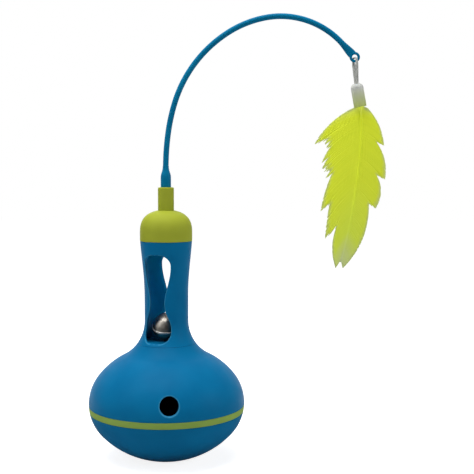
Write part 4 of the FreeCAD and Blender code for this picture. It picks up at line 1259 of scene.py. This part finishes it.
def barbs(start, lobes, hand, count):
    """Ribbons of one side: centre lines, then three points across each, and their attributes."""
    outline = vane_outline(start, lobes, hand)
    place = np.linspace(0.0, 1.0, count) ** 1.05
    quill = bezier(quill_poles, 400)
    root = np.stack([np.interp(place, np.linspace(0, 1, 400), quill[:, k]) for k in (0, 1)], axis=-1)
    slant = np.interp(place, [0.0, 0.15, 0.5, 0.85, 1.0], [-18.0, -34.0, -46.0, -60.0, -78.0])
    slant = np.radians(slant + rng.normal(0, 0.7, count))
    direction = np.stack([np.cos(slant) * hand, np.sin(slant)], axis=-1)
    length = first_exit(root, direction, outline)
    length = np.where(np.isfinite(length), length, 2.0) * (1 - rng.random(count) ** 6 * 0.08)
    t = np.linspace(0, 1, barb_rows)[None, :, None]
    across = np.stack([-direction[:, 1], direction[:, 0]], axis=-1)[:, None, :] * hand
    bend = 0.05 * length[:, None, None] * 4 * t * (1 - t)
    centre = root[:, None, :] + direction[:, None, :] * length[:, None, None] * t + across * bend
    half = barb_half * (1 - np.clip((t - 0.8) / 0.2, 0, 1) ** 1.5 * 0.75)
    layer = layer_step * (np.arange(count) % 3 - 1)[:, None]
    edges = []
    for side in (-1.0, 0.0, 1.0):
        spot = centre + across * half * side
        depth = camber(spot) + layer + edge_step * abs(side)
        edges.append(np.stack([spot[..., 0] + mouth[0], depth, spot[..., 1] + mouth[2]], axis=-1))
    points = np.stack(edges, axis=2)
    quads = grid_quads(barb_rows, 3)
    starts = np.arange(count)[:, None, None] * barb_rows * 3
    shades = {"along": place[:, None, None], "reach": t, "tone": rng.random(count)[:, None, None]}
    values = {key: np.broadcast_to(value, (count, barb_rows, 3)).reshape(-1) for key, value in shades.items()}
    return (points.reshape(-1, 3), (quads[None] + starts).reshape(-1, 4)), values


# %% Feather material
def feather_finish(name):
    """Fluorescent dyed barbs that grey towards the tips and shoulders, each of its own tone.

    A little emission of the same colour is painted light: a glow that brightens the barbs under any lamp."""
    material, tree, shader = base_material(name)
    along, reach, tone = (attribute(tree, key) for key in ("along", "reach", "tone"))
    ramp = new_node(tree, "ShaderNodeValToRGB", along)
    stops = [(0.0, (214, 224, 90)), (0.08, (206, 218, 44)), (0.5, (200, 212, 48)), (0.8, (190, 206, 66)),
             (1.0, (172, 182, 138))]
    for k, (place, colour) in enumerate(stops):
        stop = ramp.color_ramp.elements[k] if k < 2 else ramp.color_ramp.elements.new(place)
        stop.position = place
        stop.color = linear(*colour)
    fringe = smooth_step(tree, reach, 0.8, 1.0, 0.0, 0.6)
    body = mixed(tree, fringe, ramp.outputs["Color"], linear(170, 180, 128))
    shoulder = combined(tree, "MULTIPLY", smooth_step(tree, along, 0.0, 0.045, 1.0, 0.0),
                        smooth_step(tree, reach, 0.1, 0.6, 0.0, 0.85))
    body = mixed(tree, shoulder, body, linear(158, 168, 120))
    dyed = mixed(tree, combined(tree, "MULTIPLY", tone, 0.25), body, linear(186, 204, 38))
    # Painted light: the barbs glow in their own colour.
    dress(tree, shader, Base_Color=dyed, Emission_Color=dyed, Emission_Strength=0.36, Roughness=0.6,
          Specular_IOR_Level=0.15, Sheen_Weight=0.1)
    grain(tree, shader, 5000.0, 0.3)
    return material


feather_barbs = feather_finish("feather barbs")
print("material", feather_barbs.name)


def vane(name, node, start, lobes, hand):
    """One side of the feather as an object."""
    surface, values = barbs(start, lobes, hand, barb_count)
    piece = new_piece(name, [surface], 60.0, values)
    thick = piece.modifiers.new("ribbon thickness", "SOLIDIFY")
    thick.thickness = 0.10 * MM
    thick.offset = 0.0
    fitted(piece, feather_barbs, "feather", node)


vane("left_vane", "vane_left", left_start, left_lobes, -1.0)
vane("right_vane", "vane_right", right_start, right_lobes, 1.0)

# %% [markdown]
# ## Quill and root
#
# The quill is a thin tapering tube of the same dyed yellow-green. Its root widens inside the
# sleeve into a bunch of bound barbs, with a fluted outside.

# %% Make the quill
quill_steps, quill_in_sleeve = 60, 4.4
root_length, root_radius, flutes = 8.9, 3.0, 14
quill_line = bezier(quill_poles, quill_steps)
quill_path = mouth + quill_line[:, :1] * [1.0, 0.0, 0.0] + quill_line[:, 1:] * [0.0, 0.0, 1.0]
quill_path = np.concatenate([[mouth - quill_in_sleeve * sleeve_down], quill_path])
quill_size = np.concatenate([[1.0], 0.9 - 0.75 * np.linspace(0, 1, quill_steps) ** 0.4])
bunch_turn = np.linspace(0, 2 * np.pi, 8 * flutes, endpoint=False)[:, None]
bunch_line = rounded([(0.0, 0.0, 0), (root_radius, 0.0, 0.8), (root_radius, root_length, 0.8),
                      (0.0, root_length, 0)], 6, False)
bunch_radius = bunch_line[:, 0] * (0.95 + 0.05 * np.cos(flutes * bunch_turn + 0.25 * bunch_line[:, 1]))
bunch = sheet(around_axis(bunch_radius, bunch_turn, bunch_line[:, 1]), True, False)
quill = new_piece("quill", [tube(quill_path, quill_size, (0.0, 1.0, 0.0), 16),
                            placed(bunch, lean_angle=-sleeve_tilt, shift=mouth)])
mark(quill.data, "along", np.clip((mouth[2] - points_of(quill)[:, 2]) / -quill_poles[3, 1], 0, 1))
fitted(quill, feather_barbs, "feather", "feather_quill")

# %% [markdown]
# ## Jingle bell
#
# The bell is two thin pressed bowls, joined at a flange. The lower one has two crossed slots
# that end in round eyes. Here a Boolean is the simplest cut, because the bowl is small and
# its edges are sharp anyway, and the result is made a plain mesh before it is shaded.

# %% Chrome
def polished_metal(name, pale, deep, roughness):
    """Plated steel: mirror-like, clouded by handling and with a fine uneven skin."""
    material, tree, shader = base_material(name)
    dress(tree, shader, Metallic=1.0,
          Base_Color=mixed(tree, spread(tree, noise(tree, 160.0, 4.0), 0.0, 1.0), pale, deep),
          Roughness=spread(tree, noise(tree, 420.0, 5.0), roughness * 0.7, roughness * 1.4))
    grain(tree, shader, 1500.0, 0.25, 0.01 * MM)
    return material


bell_chrome = polished_metal("bell chrome", linear(166, 160, 152), linear(128, 124, 116), 0.35)
# The flange's paler chrome is a painted highlight.
brim_highlight_chrome = polished_metal("bell brim highlight", linear(222, 221, 218), linear(196, 195, 192), 0.42)
bright_steel = polished_metal("bright steel", linear(190, 192, 195), linear(165, 168, 172), 0.25)
print("materials", bell_chrome.name, "and", brim_highlight_chrome.name, "and", bright_steel.name)

# %% Make the bell
bell_radius, bell_sheet, flange_out, flange_sheet = 8.9, 0.5, 9.6, 0.6
bell_turn, bell_tilt, rest_gap, bell_segments = 25.0, 20.0, 0.05, 128
bell_middle = (0.0, 0.0, floor_z + bell_radius + rest_gap)


def paint_brim_highlight(piece):
    """Gives the flange a brighter copy of the chrome, a painted highlight: faces that reach further out than
    the bowl.
    """
    away = np.linalg.norm(points_of(piece) - np.array(bell_middle), axis=1)
    corners = np.empty(len(piece.data.loops), np.int32)
    piece.data.loops.foreach_get("vertex_index", corners)
    starts = np.empty(len(piece.data.polygons), np.int32)
    piece.data.polygons.foreach_get("loop_start", starts)
    piece.data.materials.append(brim_highlight_chrome)
    on_brim = np.maximum.reduceat(away[corners], starts) > bell_radius + 0.1
    piece.data.polygons.foreach_set("material_index", on_brim.astype(np.int32))


flange_angle = math.degrees(math.asin(flange_sheet / bell_radius))
half_bell = np.concatenate([
    arc((0.0, 0.0), bell_radius, 90, flange_angle + 1.2, 48),
    rounded([(bell_radius - 0.02, flange_sheet, 0), (flange_out, flange_sheet, 0.22), (flange_out, 0.0, 0.08),
             (bell_radius - bell_sheet, 0.0, 0)], 5, False),
    arc((0.0, 0.0), bell_radius - bell_sheet, 1, 90, 40),
])
half_bell[0, 0] = half_bell[-1, 0] = 0.0


def in_cage(surface):
    """A bell surface turned about its axis, leaned towards the viewer and set on the floor."""
    surface = placed(surface, turn=bell_turn)
    return placed(surface, lean=(1.0, 0.0, 0.0), lean_angle=bell_tilt, shift=bell_middle)


bell_upper = dressed("bell_top", [in_cage(turned(half_bell, bell_segments, False))], bell_chrome, "bell",
                     "bell_upper")
paint_brim_highlight(bell_upper)

slot_width, slot_eye, slot_angle = 2.4, 1.9, math.radians(50.0)
slot_reach = bell_radius * math.sin(slot_angle)
slot_depth = 0.4 * bell_radius * math.cos(slot_angle)


def slot_outline():
    """A slot with a round eye at each end, seen from below."""
    meet = math.degrees(math.asin(slot_width / 2 / slot_eye))
    right = arc((slot_reach, 0.0), slot_eye, -180 + meet, 180 - meet, 28)
    left = arc((-slot_reach, 0.0), slot_eye, meet, 360 - meet, 28)
    return np.concatenate([right, left])


def upright_prism(outline, low, high):
    """Closed prism over a flat outline that can be seen whole from its middle."""
    middle = np.zeros_like(outline)
    rings = zip((middle, outline, outline, middle), (low, low, high, high))
    return sheet(np.array([np.insert(ring, 2, height, axis=1) for ring, height in rings]))


bell_lower = new_piece("bell_bottom", [in_cage(turned(half_bell * [1.0, -1.0], bell_segments, False))])
for k, turn in enumerate((0.0, 90.0)):
    tool = placed(upright_prism(slot_outline(), -2 * bell_radius, -slot_depth), turn=turn)
    tool = new_piece("slot_tool_%d" % k, [in_cage(tool)])
    cut = bell_lower.modifiers.new("slot", "BOOLEAN")
    cut.operation = "DIFFERENCE"
    cut.solver = "EXACT"
    cut.object = tool
    tool.hide_render = True
bpy.context.view_layer.update()
cut_mesh = bpy.data.meshes.new_from_object(bell_lower.evaluated_get(bpy.context.evaluated_depsgraph_get()))
bell_lower.modifiers.clear()
bell_lower.data = cut_mesh
for k in range(2):
    bpy.data.objects.remove(bpy.data.objects["slot_tool_%d" % k])
cut_mesh.set_sharp_from_angle(angle=math.radians(edge_angle))
even_shading(bell_lower)
fitted(bell_lower, bell_chrome, "bell", "bell_lower")
paint_brim_highlight(bell_lower)

# %% [markdown]
# ## What lies inside
#
# The weight, its cover and screws, the pellet and the collar's clip already have their real
# shape in the frame, so they only get a material. The weight is rough cast iron, and its
# grain is a coarser and deeper bump than the plastics have.

# %% Dress the inner pieces
def cast_iron(name):
    """Dark cast iron with a sandy skin and a few rusty spots."""
    material, tree, shader = base_material(name)
    sand = spread(tree, noise(tree, 700.0, 6.0), 0.0, 1.0)
    dark = mixed(tree, sand, linear(74, 74, 78), linear(96, 95, 96))
    spots = spread(tree, noise(tree, 260.0, 4.0), 0.0, 1.0, 0.6, 0.72)
    dress(tree, shader, Metallic=0.8, Base_Color=mixed(tree, spots, dark, linear(110, 76, 58)),
          Roughness=spread(tree, noise(tree, 300.0), 0.5, 0.75))
    grain(tree, shader, 900.0, 0.7, 0.12 * MM)
    return material


inner_materials = {
    "base_weight": cast_iron("cast iron"),
    "weight_cover": blue_plastic,
    "weight_screws": bright_steel,
    "bell_pellet": bright_steel,
    "collar_clip": bright_steel,
}
for name, material in inner_materials.items():
    node = nodes[name]
    node.data.materials.clear()
    node.data.materials.append(material)
print("dressed", ", ".join(inner_materials))

# %% Set the view transform
bpy.context.scene.view_settings.view_transform = "Standard"
